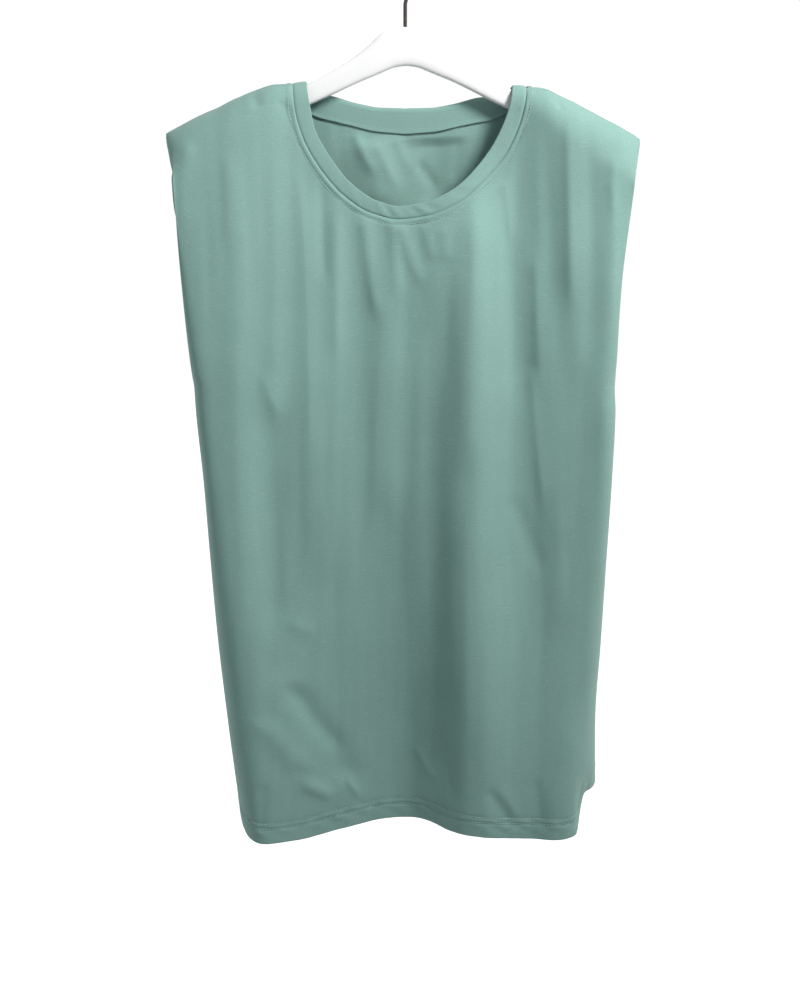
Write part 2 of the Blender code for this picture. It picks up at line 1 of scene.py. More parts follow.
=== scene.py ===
"""The looks of a sleeveless jersey top with padded shoulders on a white hanger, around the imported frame.

X runs across, the front faces -Y, +Z is up, and the origin is where the hook bears on its rod. Sizes in
the tables are millimetres, and a drop is measured down from the origin. The cloth follows nearly the same
surface as the frame's panels, sampled finely, with small folds, a hem and stitching added.
"""

import math

import bpy
import numpy as np
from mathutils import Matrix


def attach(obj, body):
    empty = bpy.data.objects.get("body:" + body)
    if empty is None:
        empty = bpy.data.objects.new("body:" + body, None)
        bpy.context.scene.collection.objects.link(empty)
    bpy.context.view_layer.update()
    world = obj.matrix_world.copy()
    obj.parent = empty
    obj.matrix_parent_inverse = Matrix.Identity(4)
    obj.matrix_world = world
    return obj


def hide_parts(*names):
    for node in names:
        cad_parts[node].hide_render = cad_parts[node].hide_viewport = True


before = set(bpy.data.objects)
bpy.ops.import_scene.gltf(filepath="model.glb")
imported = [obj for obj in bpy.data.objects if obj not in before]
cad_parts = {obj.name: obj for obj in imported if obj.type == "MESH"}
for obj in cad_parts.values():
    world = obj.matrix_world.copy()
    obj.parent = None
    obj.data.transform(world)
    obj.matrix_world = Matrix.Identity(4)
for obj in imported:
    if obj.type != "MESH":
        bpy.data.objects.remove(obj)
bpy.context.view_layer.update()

# Metres in a millimetre.
MM = 0.001

# The cloth, its seams and its sewing. BAND_START and BAND_FOLD are shares of the band's width, 0 at its
# seam and 1 at its free edge, and so is TAPE_REACH.
JERSEY = 1.1
SEAM_GAP = 0.04
SHOULDER_SEAM_ROOT = 1.15
SHOULDER_SEAM_STEP = 0.10
BAND_WIDTH = 12.0
BAND_THICK = 1.6
BAND_START = -0.05
BAND_FOLD = 0.94
BAND_PUFF = 0.30
BAND_TUCK = 1.1
BAND_PUCKER = 0.26
BAND_SLACK_TURN = 12
BAND_SLACK_REACH = 60
TAPE_GAP = 0.8
TAPE_THICK = 0.8
TAPE_EDGE = 0.15
TAPE_FOOT = 0.35
TAPE_REACH = 0.92
HEM_DEPTH = 20.5
HEM_ROWS = (14.5, 20.0)
HEM_GAUGE_COLUMN = 100
ARMHOLE_TURN = 13.0
ARMHOLE_FOOT = 388.0
ARMHOLE_FADE = 4.0
TURN_FADE = 1.2
NECK_ROW = 5.0
STITCH_LENGTH = 2.5
STITCH_PITCH = 3.3
STITCH_SINK = 0.05
THREAD_RADIUS = 0.24
THREAD_SIDES = 6
FLAT_WIDTH = 430.0
NECK_LENGTH = 560.0

# One stitch: rings along it, -0.5 to 0.5 of its length, and the share of the thread's radius at each.
STITCH_PROFILE = (
    # along, radius_share
    (-0.50, 0.35),
    (-0.42, 0.85),
    (-0.20, 1.00),
    (0.20, 1.00),
    (0.42, 0.85),
    (0.50, 0.35),
)

# Low relief of the cloth's face. A groove is its depth and its half width.
SEAM_REACH = 30.0
SEAM_CALM = 7.0
SEAM_GROOVE = (1.2, 0.9)
NECK_ROW_GROOVE = (0.60, 1.2)
ALLOWANCE_RISE = 0.45
ALLOWANCE_WIDTH = 4.0
ALLOWANCE_FADE = 2.5
HEM_GROOVE = (0.70, 1.3)
HEM_RISE = 0.35
HEM_RISE_FADE = 1.5
PUCKER_RISE = 0.52
PUCKER_MIDDLE = 12.0
PUCKER_REACH = 7.0

# Faint upright lines in the hanging jersey.
HANGING_LINES = (
    # wave, drift, height, fade
    (12.7, 5.0, 0.07, 61.0),
    (19.3, 8.0, 0.14, 97.0),
    (31.0, 11.0, 0.26, 143.0),
)

# The surface that the cloth follows. Its sides are rounded by one power above and by another below, and
# the power changes between the two drops of ROUNDNESS_CHANGE.
SIDE_ROUNDNESS = (40, 14)
ROUNDNESS_CHANGE = (450, 700)
TIP_ROUNDING = 20.0
TIP_CLOSING = 0.6
TIP_CLOSING_DROP = 46.0
SHOULDER_FADE = 150.0
FOLD_EDGE_POWER = 16
FOLD_FADE = 5
CREASE_FADE = 4
CREASE_END = 0.15
CREASE_STEPS = 12
FANNED_ROOT = 26.0
NECK_CROWDING = 0.6

# Fineness of the panels: columns on each shoulder and along the neck, and the spacing of rows.
SHOULDER_COLUMNS = 46
NECK_COLUMNS = 104
COLUMN_CROWDING = 1.3
PATH_ROWS = 150
PATH_CROWDING = 0.9
END_SPACING = 1.0
MIDDLE_SPACING = 3.6
END_STRETCH = 26.0
COLUMN_LENGTH = 650.0

# The camera, in metres and degrees, with its lens and sensor in millimetres.
CAMERA_PLACE = (-0.0046, -1.70, -0.205)
CAMERA_TILT = 80.0
FOCAL_LENGTH = 66.6
SENSOR_WIDTH = 36.0

# Soft lights, in metres, watts and degrees.
LIGHTS = (
    # name, place, aim, energy, size, spread, tone
    ("key", (0.84, -0.81, 0.62), (-0.03, 0.0, -0.15), 9.7, 0.45, 100, (1.0, 0.98, 0.96)),
    ("fill", (-1.10, -1.30, 0.10), (-0.10, 0.0, -0.35), 0.8, 0.8, 100, (0.9, 1.0, 1.0)),
)

# The surround: its strength in front of the top and behind it, its tint in front, and between which
# directions it changes, from -1 in front to 1 behind.
SURROUND_STRENGTH = (0.235, 1.02)
SURROUND_TINT = (0.84, 0.99, 1.0)
SURROUND_CHANGE = (-0.35, 0.35)

# The floor. Its glow in front of the top changes to the glow behind it between two distances in metres.
FLOOR_HEIGHT = -1750.0
FLOOR_RINGS = (1.0, 2000.0, 5000.0, 12000.0)
FLOOR_AROUND = 96
FLOOR_GLOW = (0.02, 0.75)
FLOOR_GLOW_CHANGE = (-0.9, 1.5)

# The shoulder line: drop of its ridge, half the depth of the roll over it, and the height of that roll.
SHOULDER_LINE = (
    # across, ridge, half_depth, roll
    (-216, 169.6, 35.0, 46),
    (-200, 160.8, 34.0, 45),
    (-184, 153.1, 32.5, 43),
    (-167, 145.4, 31.0, 40),
    (-152, 138.4, 29.0, 38),
    (-137, 132.0, 26.5, 35),
    (-121, 126.8, 22.0, 30),
    (-110, 125.4, 18.0, 24),
    (-100, 124.8, 14.5, 20),
    (-89, 123.2, 13.0, 18),
    (-60, 116.5, 11.5, 18),
    (0, 112.0, 11.5, 18),
    (60, 117.5, 11.5, 18),
    (88, 125.0, 13.0, 18),
    (97, 126.6, 13.5, 19),
    (109, 127.4, 16.5, 22),
    (123, 129.2, 21.5, 29),
    (138, 135.2, 26.0, 35),
    (157, 144.6, 29.5, 39),
    (180, 156.4, 32.0, 42),
    (204, 169.2, 34.0, 45),
    (212, 174.4, 35.0, 46),
)
SHOULDER_TIPS = (SHOULDER_LINE[0][0], SHOULDER_LINE[-1][0])

# Edges of the hanging top by drop: its outline, how far back the side line lies, and half the armhole.
OUTLINE = (
    # drop, left, right, back_left, back_right, half_armhole
    (166, -215.8, 212.0, 0.0, 0.0, 35.0),
    (176, -214.4, 211.4, 0.0, 0.0, 35.0),
    (192, -210.0, 208.0, 0.0, 0.0, 35.0),
    (208, -205.9, 204.6, 0.0, 0.0, 34.5),
    (228, -205.0, 202.4, 0.0, 0.0, 33.5),
    (260, -203.6, 198.8, 0.0, 0.0, 31.5),
    (300, -201.4, 195.0, 0.0, 0.0, 28.0),
    (340, -198.6, 193.2, 0.0, 0.0, 23.0),
    (370, -196.2, 192.6, 0.0, 0.0, 16.5),
    (388, -194.6, 192.0, 0.3, 0.3, 8.5),
    (396, -194.0, 192.2, 0.6, 0.6, 0.0),
    (420, -192.8, 193.4, 1.5, 2.0, 0.0),
    (484, -187.2, 191.6, 4.0, 6.0, 0.0),
    (560, -182.6, 188.8, 8.0, 12.0, 0.0),
    (640, -177.2, 186.2, 12.0, 19.0, 0.0),
    (715, -170.0, 183.2, 16.0, 25.0, 0.0),
    (790, -161.4, 185.0, 19.0, 30.0, 0.0),
    (830, -156.8, 186.0, 20.0, 32.0, 0.0),
)

# Hem line, by how far across the flat panel from its left side to its right, 0 to 1.
HEM = (
    # across_share, front_drop, back_drop
    (0.00, 811, 811),
    (0.03, 824, 810),
    (0.07, 827, 809),
    (0.16, 826, 809),
    (0.29, 818, 812),
    (0.42, 811, 814),
    (0.51, 810, 815),
    (0.58, 814, 815),
    (0.64, 815, 813),
    (0.82, 820, 805),
    (0.930, 817, 797),
    (0.959, 785, 788),
    (1.00, 784, 784),
)

# Sections of the hanging front: how far each fold line lies across, and how far before the side line.
FRONT_SECTIONS = (
    # drop, left_edge, out, left_flat, out, centre_left, out, hollow, out,
    #       main_fold, out, right_flat, out, right, out, turn, out
    (150, -190, 26, -120, 17, -60, 14, 0, 14, 58, 14, 118, 17, 172, 23, 196, 27),
    (215, -184, 31, -120, 21, -62, 15, 0, 18, 60, 23, 102, 18, 162, 31, 190, 35),
    (317, -182, 36, -118, 26, -62, 19, -6, 23, 62, 40, 99, 28, 160, 40, 188, 46),
    (407, -179, 39, -122, 31, -66, 25, -8, 27, 62, 49, 99, 35, 158, 46, 187, 53),
    (500, -171, 43, -118, 33, -66, 30, -6, 31, 62, 58, 102, 43, 158, 53, 184, 57),
    (560, -164, 46, -112, 36, -64, 32, -4, 34, 63, 65, 106, 50, 158, 57, 182, 60),
    (670, -156, 55, -108, 45, -60, 38, 4, 40, 64, 77, 112, 64, 158, 68, 178, 70),
    (745, -150, 63, -108, 54, -60, 42, 6, 40, 64, 79, 116, 71, 157, 75, 176, 70),
    (790, -146, 66, -107, 56, -61, 45, 7, 39, 62, 79, 116, 73, 158, 77, 174, 46),
    (822, -143, 66, -107, 55, -61, 44, 8, 36, 61, 77, 116, 73, 160, 77, 172, 28),
)

# Sections of the hanging back, measured behind the side line.
BACK_SECTIONS = (
    # drop, left_edge, out, left_fold, out, left_hollow, out, centre, out,
    #       right_hollow, out, right_fold, out, right, out
    (150, -190, 26, -130, 18, -70, 13, 0, 13, 70, 13, 130, 18, 180, 26),
    (215, -180, 28, -118, 20, -66, 15, 0, 17, 66, 15, 118, 20, 176, 28),
    (317, -174, 27, -112, 25, -60, 17, 0, 23, 62, 17, 114, 25, 170, 27),
    (430, -168, 24, -104, 30, -54, 16, 4, 26, 60, 17, 112, 29, 166, 25),
    (560, -158, 22, -94, 34, -46, 14, 8, 28, 60, 15, 112, 31, 164, 24),
    (700, -146, 22, -86, 38, -38, 11, 12, 30, 62, 12, 114, 32, 162, 23),
    (822, -134, 23, -78, 42, -32, 9, 16, 32, 64, 9, 116, 33, 161, 24),
)

# Broad folds of the front: where each lies at its top, middle and bottom, how wide and how proud it is.
FRONT_FOLDS = (
    # top_across, middle_across, bottom_across, top_drop, bottom_drop, half_width, proud
    (-139, -146, -146, 150, 690, 20, 2.4),
    (-66, -76, -72, 225, 600, 20, 2.6),
    (-19, -16, -15, 252, 540, 13, 3.5),
    (36, 28, 32, 270, 800, 13, -3.5),
    (126, 137, 145, 300, 640, 15, 2.2),
    (90, 94, 106, 140, 430, 18, -4.5),
    (150, 151, 156, 150, 400, 12, 2.6),
    (-124, -124, -122, 400, 640, 14, -3.5),
    (-112, -78, -46, 668, 780, 16, -3.4),
    (-138, -104, -70, 700, 790, 14, 3.0),
)

# Small folds of the front, each along a bent line through three points: its half width, how proud it
# stands, and how rounded it is, 2 for a soft roll and 1 for a sharp crease.
FRONT_CREASES = (
    # across, drop, across, drop, across, drop, half_width, proud, roundness
    (-145, 151, -152, 343, -150, 555, 12, 1.9, 1.6),
    (-190, 176, -199, 210, -198, 259, 7, 2.2, 1.6),
    (-162, 184, -157, 219, -160, 272, 7, 1.2, 2.0),
    (-118, 176, -118, 343, -121, 434, 10, 2.2, 1.6),
    (-129, 381, -124, 402, -113, 423, 5, 1.0, 1.5),
    (-97, 202, -89, 316, -87, 499, 10, 2.0, 1.6),
    (-74, 210, -74, 254, -72, 308, 6, -1.6, 1.8),
    (-62, 228, -62, 300, -62, 380, 7, 2.4, 1.4),
    (-37, 240, -33, 280, -22, 343, 7, 3.0, 1.25),
    (-13, 240, -10, 270, -6, 320, 5, 2.2, 1.25),
    (-20, 330, -26, 434, -30, 555, 14, 1.3, 1.6),
    (-5, 249, 3, 272, 17, 308, 6, 2.0, 1.4),
    (16, 249, 20, 263, 26, 283, 4, 1.3, 1.5),
    (34, 249, 36, 268, 37, 283, 5, 1.4, 1.5),
    (62, 219, 60, 343, 58, 480, 13, 3.0, 1.4),
    (58, 480, 56, 611, 58, 727, 13, 2.0, 1.5),
    (87, 212, 91, 228, 95, 272, 6, 1.4, 1.6),
    (144, 152, 147, 228, 150, 330, 9, 3.2, 1.25),
    (117, 270, 119, 330, 123, 400, 7, 1.9, 1.3),
    (115, 375, 119, 430, 128, 517, 9, 2.4, 1.3),
    (185, 185, 186, 246, 186, 370, 12, 4.6, 1.4),
    (182, 400, 180, 489, 177, 600, 9, 2.6, 1.4),
    (182, 209, 184, 224, 184, 241, 4, 0.9, 1.6),
    (-127, 661, -98, 709, -59, 760, 15, 2.8, 1.7),
    (-109, 669, -87, 709, -50, 746, 9, -1.8, 2.0),
    (-107, 613, -97, 621, -82, 625, 7, 1.4, 1.6),
    (-106, 756, -87, 764, -63, 780, 7, -1.8, 1.8),
    (-99, 771, -82, 777, -67, 788, 7, 2.0, 1.5),
    (-55, 768, -50, 777, -41, 789, 3, 1.6, 1.4),
    (-132, 766, -134, 790, -135, 817, 7, -1.8, 2.0),
    (35, 707, 40, 746, 43, 785, 6, -2.2, 1.6),
    (10, 736, 18, 751, 29, 768, 5, 1.2, 1.5),
    (74, 768, 88, 785, 100, 805, 7, -2.2, 1.7),
    (86, 768, 97, 783, 108, 801, 6, 1.6, 1.5),
    (121, 761, 125, 785, 128, 807, 6, -1.2, 1.8),
    (98, 494, 110, 527, 126, 569, 8, -1.4, 2.0),
    (-137, 135, -133, 140, -130, 148, 4, -1.6, 1.3),
    (-112, 141, -106, 148, -98, 159, 5, -1.8, 1.4),
    (135, 139, 137, 144, 141, 150, 2, -1.0, 1.3),
)

# Small folds of the back, given as those of the front are: the wrinkles seen inside the neck come first.
BACK_CREASES = (
    # across, drop, across, drop, across, drop, half_width, proud, roundness
    (-32, 172, -27, 200, -20, 240, 19, -4.5, 2.0),
    (26, 172, 27, 200, 28, 240, 24, 4.5, 2.0),
    (-10, 170, -2, 188, 9, 206, 7, -1.3, 1.5),
    (-46, 168, -39, 184, -28, 206, 6, -2.4, 1.5),
    (-26, 178, -18, 196, -4, 222, 7, -1.8, 1.5),
    (30, 222, 18, 204, 10, 196, 5, 1.8, 1.4),
    (46, 172, 48, 190, 44, 215, 6, 1.2, 1.6),
    (-96, 168, -104, 300, -98, 470, 12, 3.0, 1.6),
    (-40, 240, -34, 380, -44, 560, 13, 2.4, 1.7),
    (8, 240, 14, 400, 10, 620, 14, 3.0, 1.5),
    (58, 220, 52, 330, 60, 470, 10, 2.2, 1.6),
    (104, 170, 112, 290, 108, 450, 12, 3.2, 1.5),
    (150, 190, 146, 300, 152, 420, 11, 2.4, 1.6),
    (-150, 190, -148, 300, -152, 440, 11, 2.6, 1.6),
    (-92, 520, -80, 640, -84, 790, 12, 2.8, 1.6),
    (112, 500, 104, 620, 112, 780, 12, 2.6, 1.6),
    (-20, 600, 2, 690, 34, 770, 12, -2.4, 1.8),
)

# The neck round its ring: 0 is the middle of the front, 90 the right neck point and 180 the middle of the
# back. Each line gives across and the drop below the ridge, negative behind it, for seam and free edge.
NECK = (
    # turn, seam_across, seam_below, edge_across, edge_below
    (-180, 0.0, -46.2, 0.0, -34.8),
    (-158, -24.0, -44.6, -22.0, -33.2),
    (-138, -47.0, -38.4, -42.0, -28.0),
    (-122, -70.0, -29.4, -62.0, -20.0),
    (-108, -89.5, -18.0, -77.5, -12.4),
    (-98, -99.0, -5.4, -86.8, -4.6),
    (-90, -100.8, 0.0, -88.9, 0.0),
    (-82, -99.8, 8.0, -87.4, 7.4),
    (-72, -98.3, 23.9, -85.0, 21.8),
    (-58, -92.0, 47.8, -80.6, 44.0),
    (-44, -77.8, 77.6, -69.8, 67.8),
    (-30, -58.0, 105.4, -50.8, 95.6),
    (-14, -29.5, 126.6, -25.6, 115.4),
    (0, -5.5, 133.2, -5.5, 121.4),
    (14, 18.0, 129.6, 15.6, 118.0),
    (30, 48.0, 114.0, 42.6, 103.4),
    (46, 74.0, 86.4, 65.6, 78.6),
    (60, 93.6, 55.0, 82.0, 49.8),
    (74, 104.3, 26.4, 91.8, 24.0),
    (83, 107.6, 9.6, 95.2, 8.8),
    (90, 108.6, 0.0, 96.2, 0.0),
    (98, 105.4, -5.6, 93.0, -4.8),
    (108, 92.6, -18.0, 80.0, -12.6),
    (122, 71.0, -29.2, 63.0, -19.6),
    (138, 47.4, -38.2, 42.6, -27.8),
    (158, 24.0, -44.6, 22.0, -33.2),
    (180, 0.0, -46.2, 0.0, -34.8),
)

# The tape along the back neck seam, from one shoulder seam round to the other.
NECK_TAPE = (
    # turn, width
    (108, 4.5),
    (122, 7.5),
    (150, 8.5),
    (180, 10.5),
    (210, 8.5),
    (238, 7.5),
    (252, 4.5),
)

# Top and lower edge of the flat hanger.
HANGER_OUTLINE = (
    # across, top, bottom
    (-190, 172.8, 188.5),
    (-167, 162.2, 179.5),
    (-137, 148.2, 167.0),
    (-110, 136.8, 155.4),
    (-95, 130.2, 148.6),
    (-83, 123.8, 143.0),
    (-60, 111.2, 132.6),
    (-40, 98.2, 123.6),
    (-28, 87.6, 118.8),
    (-19, 79.6, 115.0),
    (-9, 76.4, 111.2),
    (1, 76.0, 110.0),
    (11, 76.6, 111.4),
    (21, 79.4, 115.2),
    (30, 87.4, 118.8),
    (41, 97.0, 123.2),
    (60, 110.6, 132.0),
    (83, 123.8, 143.4),
    (97, 131.0, 149.8),
    (110, 137.6, 156.2),
    (137, 149.2, 168.0),
    (167, 163.4, 180.6),
    (190, 174.2, 189.8),
)
HANGER_HALF_THICKNESS = 5.9
HANGER_END = 190.0
HANGER_END_ROUND = 3.5
HANGER_CORNER_POWER = 4.0
HANGER_AROUND = 40
HANGER_STATIONS = 190

# Shoulder pads: where columns of the cloth cross the ridge, and the root that the pad's edge reaches.
PAD_GAP = 0.2
PAD_EDGE = 1.2
PAD_CROWN = 2.6
PAD_SWELL_POWER = 1.6
PAD_QUILT = 0.10
PAD_QUILT_WAVES = (40, 14)
PAD_FLAT_REACH = 8.0
PAD_STATIONS = 44
PAD_AROUND = 60
PADS = {
    "shoulder_pad_left": (
        # across, edge_root
        (-208.3, 8.20),
        (-201.6, 8.25),
        (-193.0, 8.15),
        (-183.3, 8.05),
        (-172.2, 7.80),
        (-160.0, 7.45),
        (-146.6, 6.85),
        (-132.3, 5.95),
        (-117.0, 4.75),
        (-107.2, 3.60),
    ),
    "shoulder_pad_right": (
        # across, edge_root
        (205.0, 8.00),
        (199.0, 8.00),
        (191.5, 7.95),
        (182.7, 7.90),
        (172.7, 7.70),
        (161.7, 7.38),
        (149.8, 6.80),
        (136.9, 5.92),
        (123.1, 4.75),
        (114.4, 3.60),
    ),
}

# The hook: its wire, the bow from one angle to another, and the stem below it.
HOOK_WIRE = 3.4
HOOK_INSIDE_RADIUS = 20.0
HOOK_STEM_TOP = 58.0
HOOK_FOOT = 84.0
HOOK_BEND = 10.0
HOOK_ARC = (-46, 196)
HOOK_DOME = (20, 40, 60, 80)
HOOK_SIDES = 20

SAGE = (0.202, 0.340, 0.307)
SAGE_LIGHT = (0.236, 0.380, 0.344)
SAGE_DARK = (0.170, 0.296, 0.266)


def table(rows):
    """A table's columns, each as one array."""
    return np.array(rows, dtype=float).T


def knot_slopes(knots, values):
    """Slope at each knot: level at a peak or a hollow, else the harmonic mean of both sides."""
    sides = np.diff(values) / np.diff(knots)
    before, after = sides[:-1], sides[1:]
    same_way = before * after > 0
    total = np.where(same_way, before + after, 1)
    inner = np.where(same_way, 2 * before * after / total, 0)
    return np.concatenate([sides[:1], inner, sides[-1:]])


def cubic(t, span, low, high, low_slope, high_slope):
    """Cubic line over a span, from low at t 0 to high at t 1, with a given slope at each end."""
    start = (1 + 2 * t) * (1 - t) ** 2 * low + t * (1 - t) ** 2 * span * low_slope
    end = t * t * (3 - 2 * t) * high + t * t * (t - 1) * span * high_slope
    return start + end


def curve(at, knots, values):
    """Smooth line through a table's values: cubic between the knots, and level beyond them."""
    slopes = knot_slopes(knots, values)
    at = np.clip(at, knots[0], knots[-1])
    low = np.clip(np.searchsorted(knots, at) - 1, 0, len(knots) - 2)
    span = knots[low + 1] - knots[low]
    return cubic((at - knots[low]) / span, span, values[low], values[low + 1], slopes[low], slopes[low + 1])


def smooth(t):
    """0 up to t 0, 1 from t 1 on, and 3 t squared less 2 t cubed between them."""
    t = np.clip(t, 0, 1)
    return t * t * (3 - 2 * t)


def bell(away, height, half_width, roundness=2):
    """A ridge: its height times e to the power of minus (distance over half width) to its roundness."""
    return height * np.exp(-(away / half_width) ** roundness)


def bent_line(t, start, middle, end):
    """The parabola that passes start, middle and end at t 0, a half and 1."""
    return start * (1 - t) * (1 - 2 * t) + middle * 4 * t * (1 - t) + end * t * (2 * t - 1)


def section(across, drop, rows):
    """Depth of a lofted section: cubic lines down the folds, and one across them at each drop."""
    columns = table(rows)
    lines = [curve(drop, columns[0], column) for column in columns[1:]]
    places, outs = lines[0::2], lines[1::2]
    last = len(places) - 1
    slopes = [(outs[k + 1] - outs[k - 1]) / (places[k + 1] - places[k - 1]) for k in range(1, last)]
    slopes = [0 * outs[0]] + slopes + [0 * outs[0]]
    depth = outs[0]
    for k in range(last):
        span = places[k + 1] - places[k]
        t = np.clip((across - places[k]) / span, 0, 1)
        stretch = cubic(t, span, outs[k], outs[k + 1], slopes[k], slopes[k + 1])
        depth = np.where(across >= places[k], stretch, depth)
    return depth


def broad_folds(across, drop):
    """The broad folds of the front: a bell of the distance from each bent line, fading at both ends."""
    proud = 0 * across
    for top_x, middle_x, bottom_x, top, bottom, half_width, height in FRONT_FOLDS:
        t = np.clip((drop - top) / (bottom - top), 0, 1)
        away = across - bent_line(t, top_x, middle_x, bottom_x)
        fade = smooth(t * FOLD_FADE) * smooth((1 - t) * FOLD_FADE)
        proud = proud + fade * bell(away, height, half_width)
    return proud


def tip_closing(across, below, left, right):
    """How far the roll over the shoulder is closed by the rounded end of the pad, 1 away from it."""
    past = np.maximum(left + TIP_ROUNDING - across, across - right + TIP_ROUNDING) / TIP_ROUNDING
    round_end = np.sqrt(1 - np.clip(past, 0, 1) ** 2)
    share = TIP_CLOSING * (1 - smooth(below / TIP_CLOSING_DROP))
    return 1 - share * (1 - round_end)


def ridge(across):
    """Drop of the shoulder's ridge line."""
    return curve(across, *table(SHOULDER_LINE)[:2])


def outline(drop):
    """Where the left and the right side of the top lie at a drop."""
    drops, lefts, rights = table(OUTLINE)[:3]
    return curve(drop, drops, lefts), curve(drop, drops, rights)


def sides(across, root):
    """Drop of a place on the cloth, the ridge's plus root squared, and the outline's two sides there."""
    drop = ridge(across) + root ** 2
    left, right = outline(drop)
    return drop, left, right


def cloth(across, root):
    """Points of the cloth's outer face. root is the root of the drop below the ridge, negative behind.

    Near the ridge the cloth rolls over as an arc: the half depth times the root of 2 b less b squared,
    where b is the drop below the ridge as a share of the roll. Lower down it hangs in sections: the
    armhole's half depth at the sides, and the section's depth between them, rounded by the root of 1 less
    a high power of the distance from the middle.
    """
    across = np.asarray(across, float)
    root = np.asarray(root, float)
    line_x, _, half_depths, rolls = table(SHOULDER_LINE)
    drops, _, _, back_lefts, back_rights, armholes = table(OUTLINE)
    below = root ** 2
    drop, left, right = sides(across, root)
    share = np.clip((across - left) / (right - left), 0, 1)
    side_line = curve(drop, drops, back_lefts) * (1 - share) + curve(drop, drops, back_rights) * share
    edge = np.abs(2 * share - 1)
    upper, lower = SIDE_ROUNDNESS
    change_from, change_to = ROUNDNESS_CHANGE
    change = smooth((drop - change_from) / (change_to - change_from))
    rounding = np.sqrt(1 - edge ** (upper + (lower - upper) * change))
    inside = 1 - edge ** FOLD_EDGE_POWER
    front = root > 0
    hung = np.where(front, section(across, drop, FRONT_SECTIONS), section(across, drop, BACK_SECTIONS))
    hung = hung + np.where(front, broad_folds(across, drop) * inside, 0)
    armhole = np.maximum(curve(drop, drops, armholes), SEAM_GAP / 2)
    body = armhole + (hung - armhole) * rounding
    over = curve(across, line_x, half_depths)
    near_ridge = 1 - smooth(below / SHOULDER_FADE)
    depth = over * near_ridge + body * (1 - near_ridge)
    roll = curve(across, line_x, rolls)
    rolled = np.abs(root) * np.sqrt(np.maximum(2 / roll - below / roll ** 2, 0))
    rolled = np.where(below < roll, rolled, 1) * tip_closing(across, below, left, right)
    y = side_line * smooth(below / SHOULDER_FADE) - np.where(front, 1, -1) * depth * rolled
    return np.stack([across, y, -drop], axis=-1)


def cloth_normals(across, root):
    """Outward directions of the cloth's face: the cross product of small steps down it and along it."""
    step = 0.02
    along = cloth(across + step, root) - cloth(across - step, root)
    down = cloth(across, root + step) - cloth(across, root - step)
    normal = np.cross(down, along)
    return normal / np.linalg.norm(normal, axis=-1, keepdims=True)


def neck_ring(turn, share):
    """Across and root on the neck, in a straight line from the seam, share 0, to the free edge, share 1.

    A share below 0 lies on the panel beyond the seam.
    """
    turns, seam_x, seam_below, edge_x, edge_below = table(NECK)
    turn = (np.asarray(turn, float) + 180) % 360 - 180
    signed = [np.sign(b) * np.sqrt(np.abs(b)) for b in (seam_below, edge_below)]
    seam = curve(turn, turns, seam_x), curve(turn, turns, signed[0])
    edge = curve(turn, turns, edge_x), curve(turn, turns, signed[1])
    return seam[0] + (edge[0] - seam[0]) * share, seam[1] + (edge[1] - seam[1]) * share


def shoulder_turns(root):
    """Turns round the neck where its seam comes nearest to the shoulder seam's root, left and right."""
    turns = np.linspace(-110, 110, 881)
    roots = neck_ring(turns, 0)[1]
    left = turns[turns < 0][np.argmin(np.abs(roots[turns < 0] - root))]
    right = turns[turns > 0][np.argmin(np.abs(roots[turns > 0] - root))]
    return left, right


def line_distance(points, line):
    """Distance from each point to the nearest stretch of a line of points, and where along it, 0 to 1."""
    flat = points.reshape(-1, points.shape[-1])
    best = np.full(len(flat), np.inf)
    where = np.zeros(len(flat))
    for k in range(len(line) - 1):
        run = line[k + 1] - line[k]
        t = np.clip((flat - line[k]) @ run / (run @ run), 0, 1)
        away = np.linalg.norm(flat - line[k] - t[:, None] * run, axis=1)
        nearer = away < best
        best = np.where(nearer, away, best)
        where = np.where(nearer, (k + t) / (len(line) - 1), where)
    return best.reshape(points.shape[:-1]), where.reshape(points.shape[:-1])


def creases(across, drop, rows):
    """Height of small folds: for each, a bell of the distance from its bent line, fading at both ends."""
    spots = np.stack([across, drop], -1)
    height = 0 * across
    t = np.linspace(0, 1, CREASE_STEPS + 1)[:, None]
    for x0, d0, x1, d1, x2, d2, half_width, proud, roundness in rows:
        line = bent_line(t, np.array([x0, d0]), np.array([x1, d1]), np.array([x2, d2]))
        reach = 3 * half_width
        near = (across > min(x0, x1, x2) - reach) & (across < max(x0, x1, x2) + reach)
        near &= (drop > min(d0, d2) - reach) & (drop < max(d0, d2) + reach)
        away, where = line_distance(spots[near], line)
        fade = smooth(where * CREASE_FADE + CREASE_END) * smooth((1 - where) * CREASE_FADE + CREASE_END)
        height[near] += fade * bell(away, proud, half_width, roundness)
    return height


def seam_distance(across, root):
    """Distance of the cloth's face from the neck seam, up to SEAM_REACH."""
    seam = cloth(*neck_ring(np.linspace(-180, 180, 241), 0))
    points = cloth(across, root)
    away = np.full(across.shape, SEAM_REACH)
    near = points[..., 2] > seam[:, 2].min() - SEAM_REACH
    away[near] = np.minimum(line_distance(points[near], seam)[0], SEAM_REACH)
    return away


def hanging_lines(across, drop):
    """Faint upright lines: sine waves across the cloth, whose place and strength vary down it."""
    height = 0 * across
    for wave, drift, tall, fade in HANGING_LINES:
        place = across + drift * np.sin(drop / fade + wave)
        share = 0.6 + 0.4 * np.sin(drop / (fade * 0.7) + across / 45 + drift)
        height += tall * share * np.sin(2 * math.pi * place / wave)
    return height


def hem_puckers(across, above_hem):
    """Puckers at the hem: two slanted waves that cross, uneven along it, times a bell up it."""
    rope = np.sin(across / 4.1 + above_hem / 3.0) + 0.8 * np.sin(across / 2.3 - above_hem / 3.4 + 1.3)
    uneven = 0.55 + 0.45 * np.sin(across / 17.0 + 2.0) * np.sin(across / 41.0)
    return rope * uneven * bell(above_hem - PUCKER_MIDDLE, PUCKER_RISE, PUCKER_REACH)


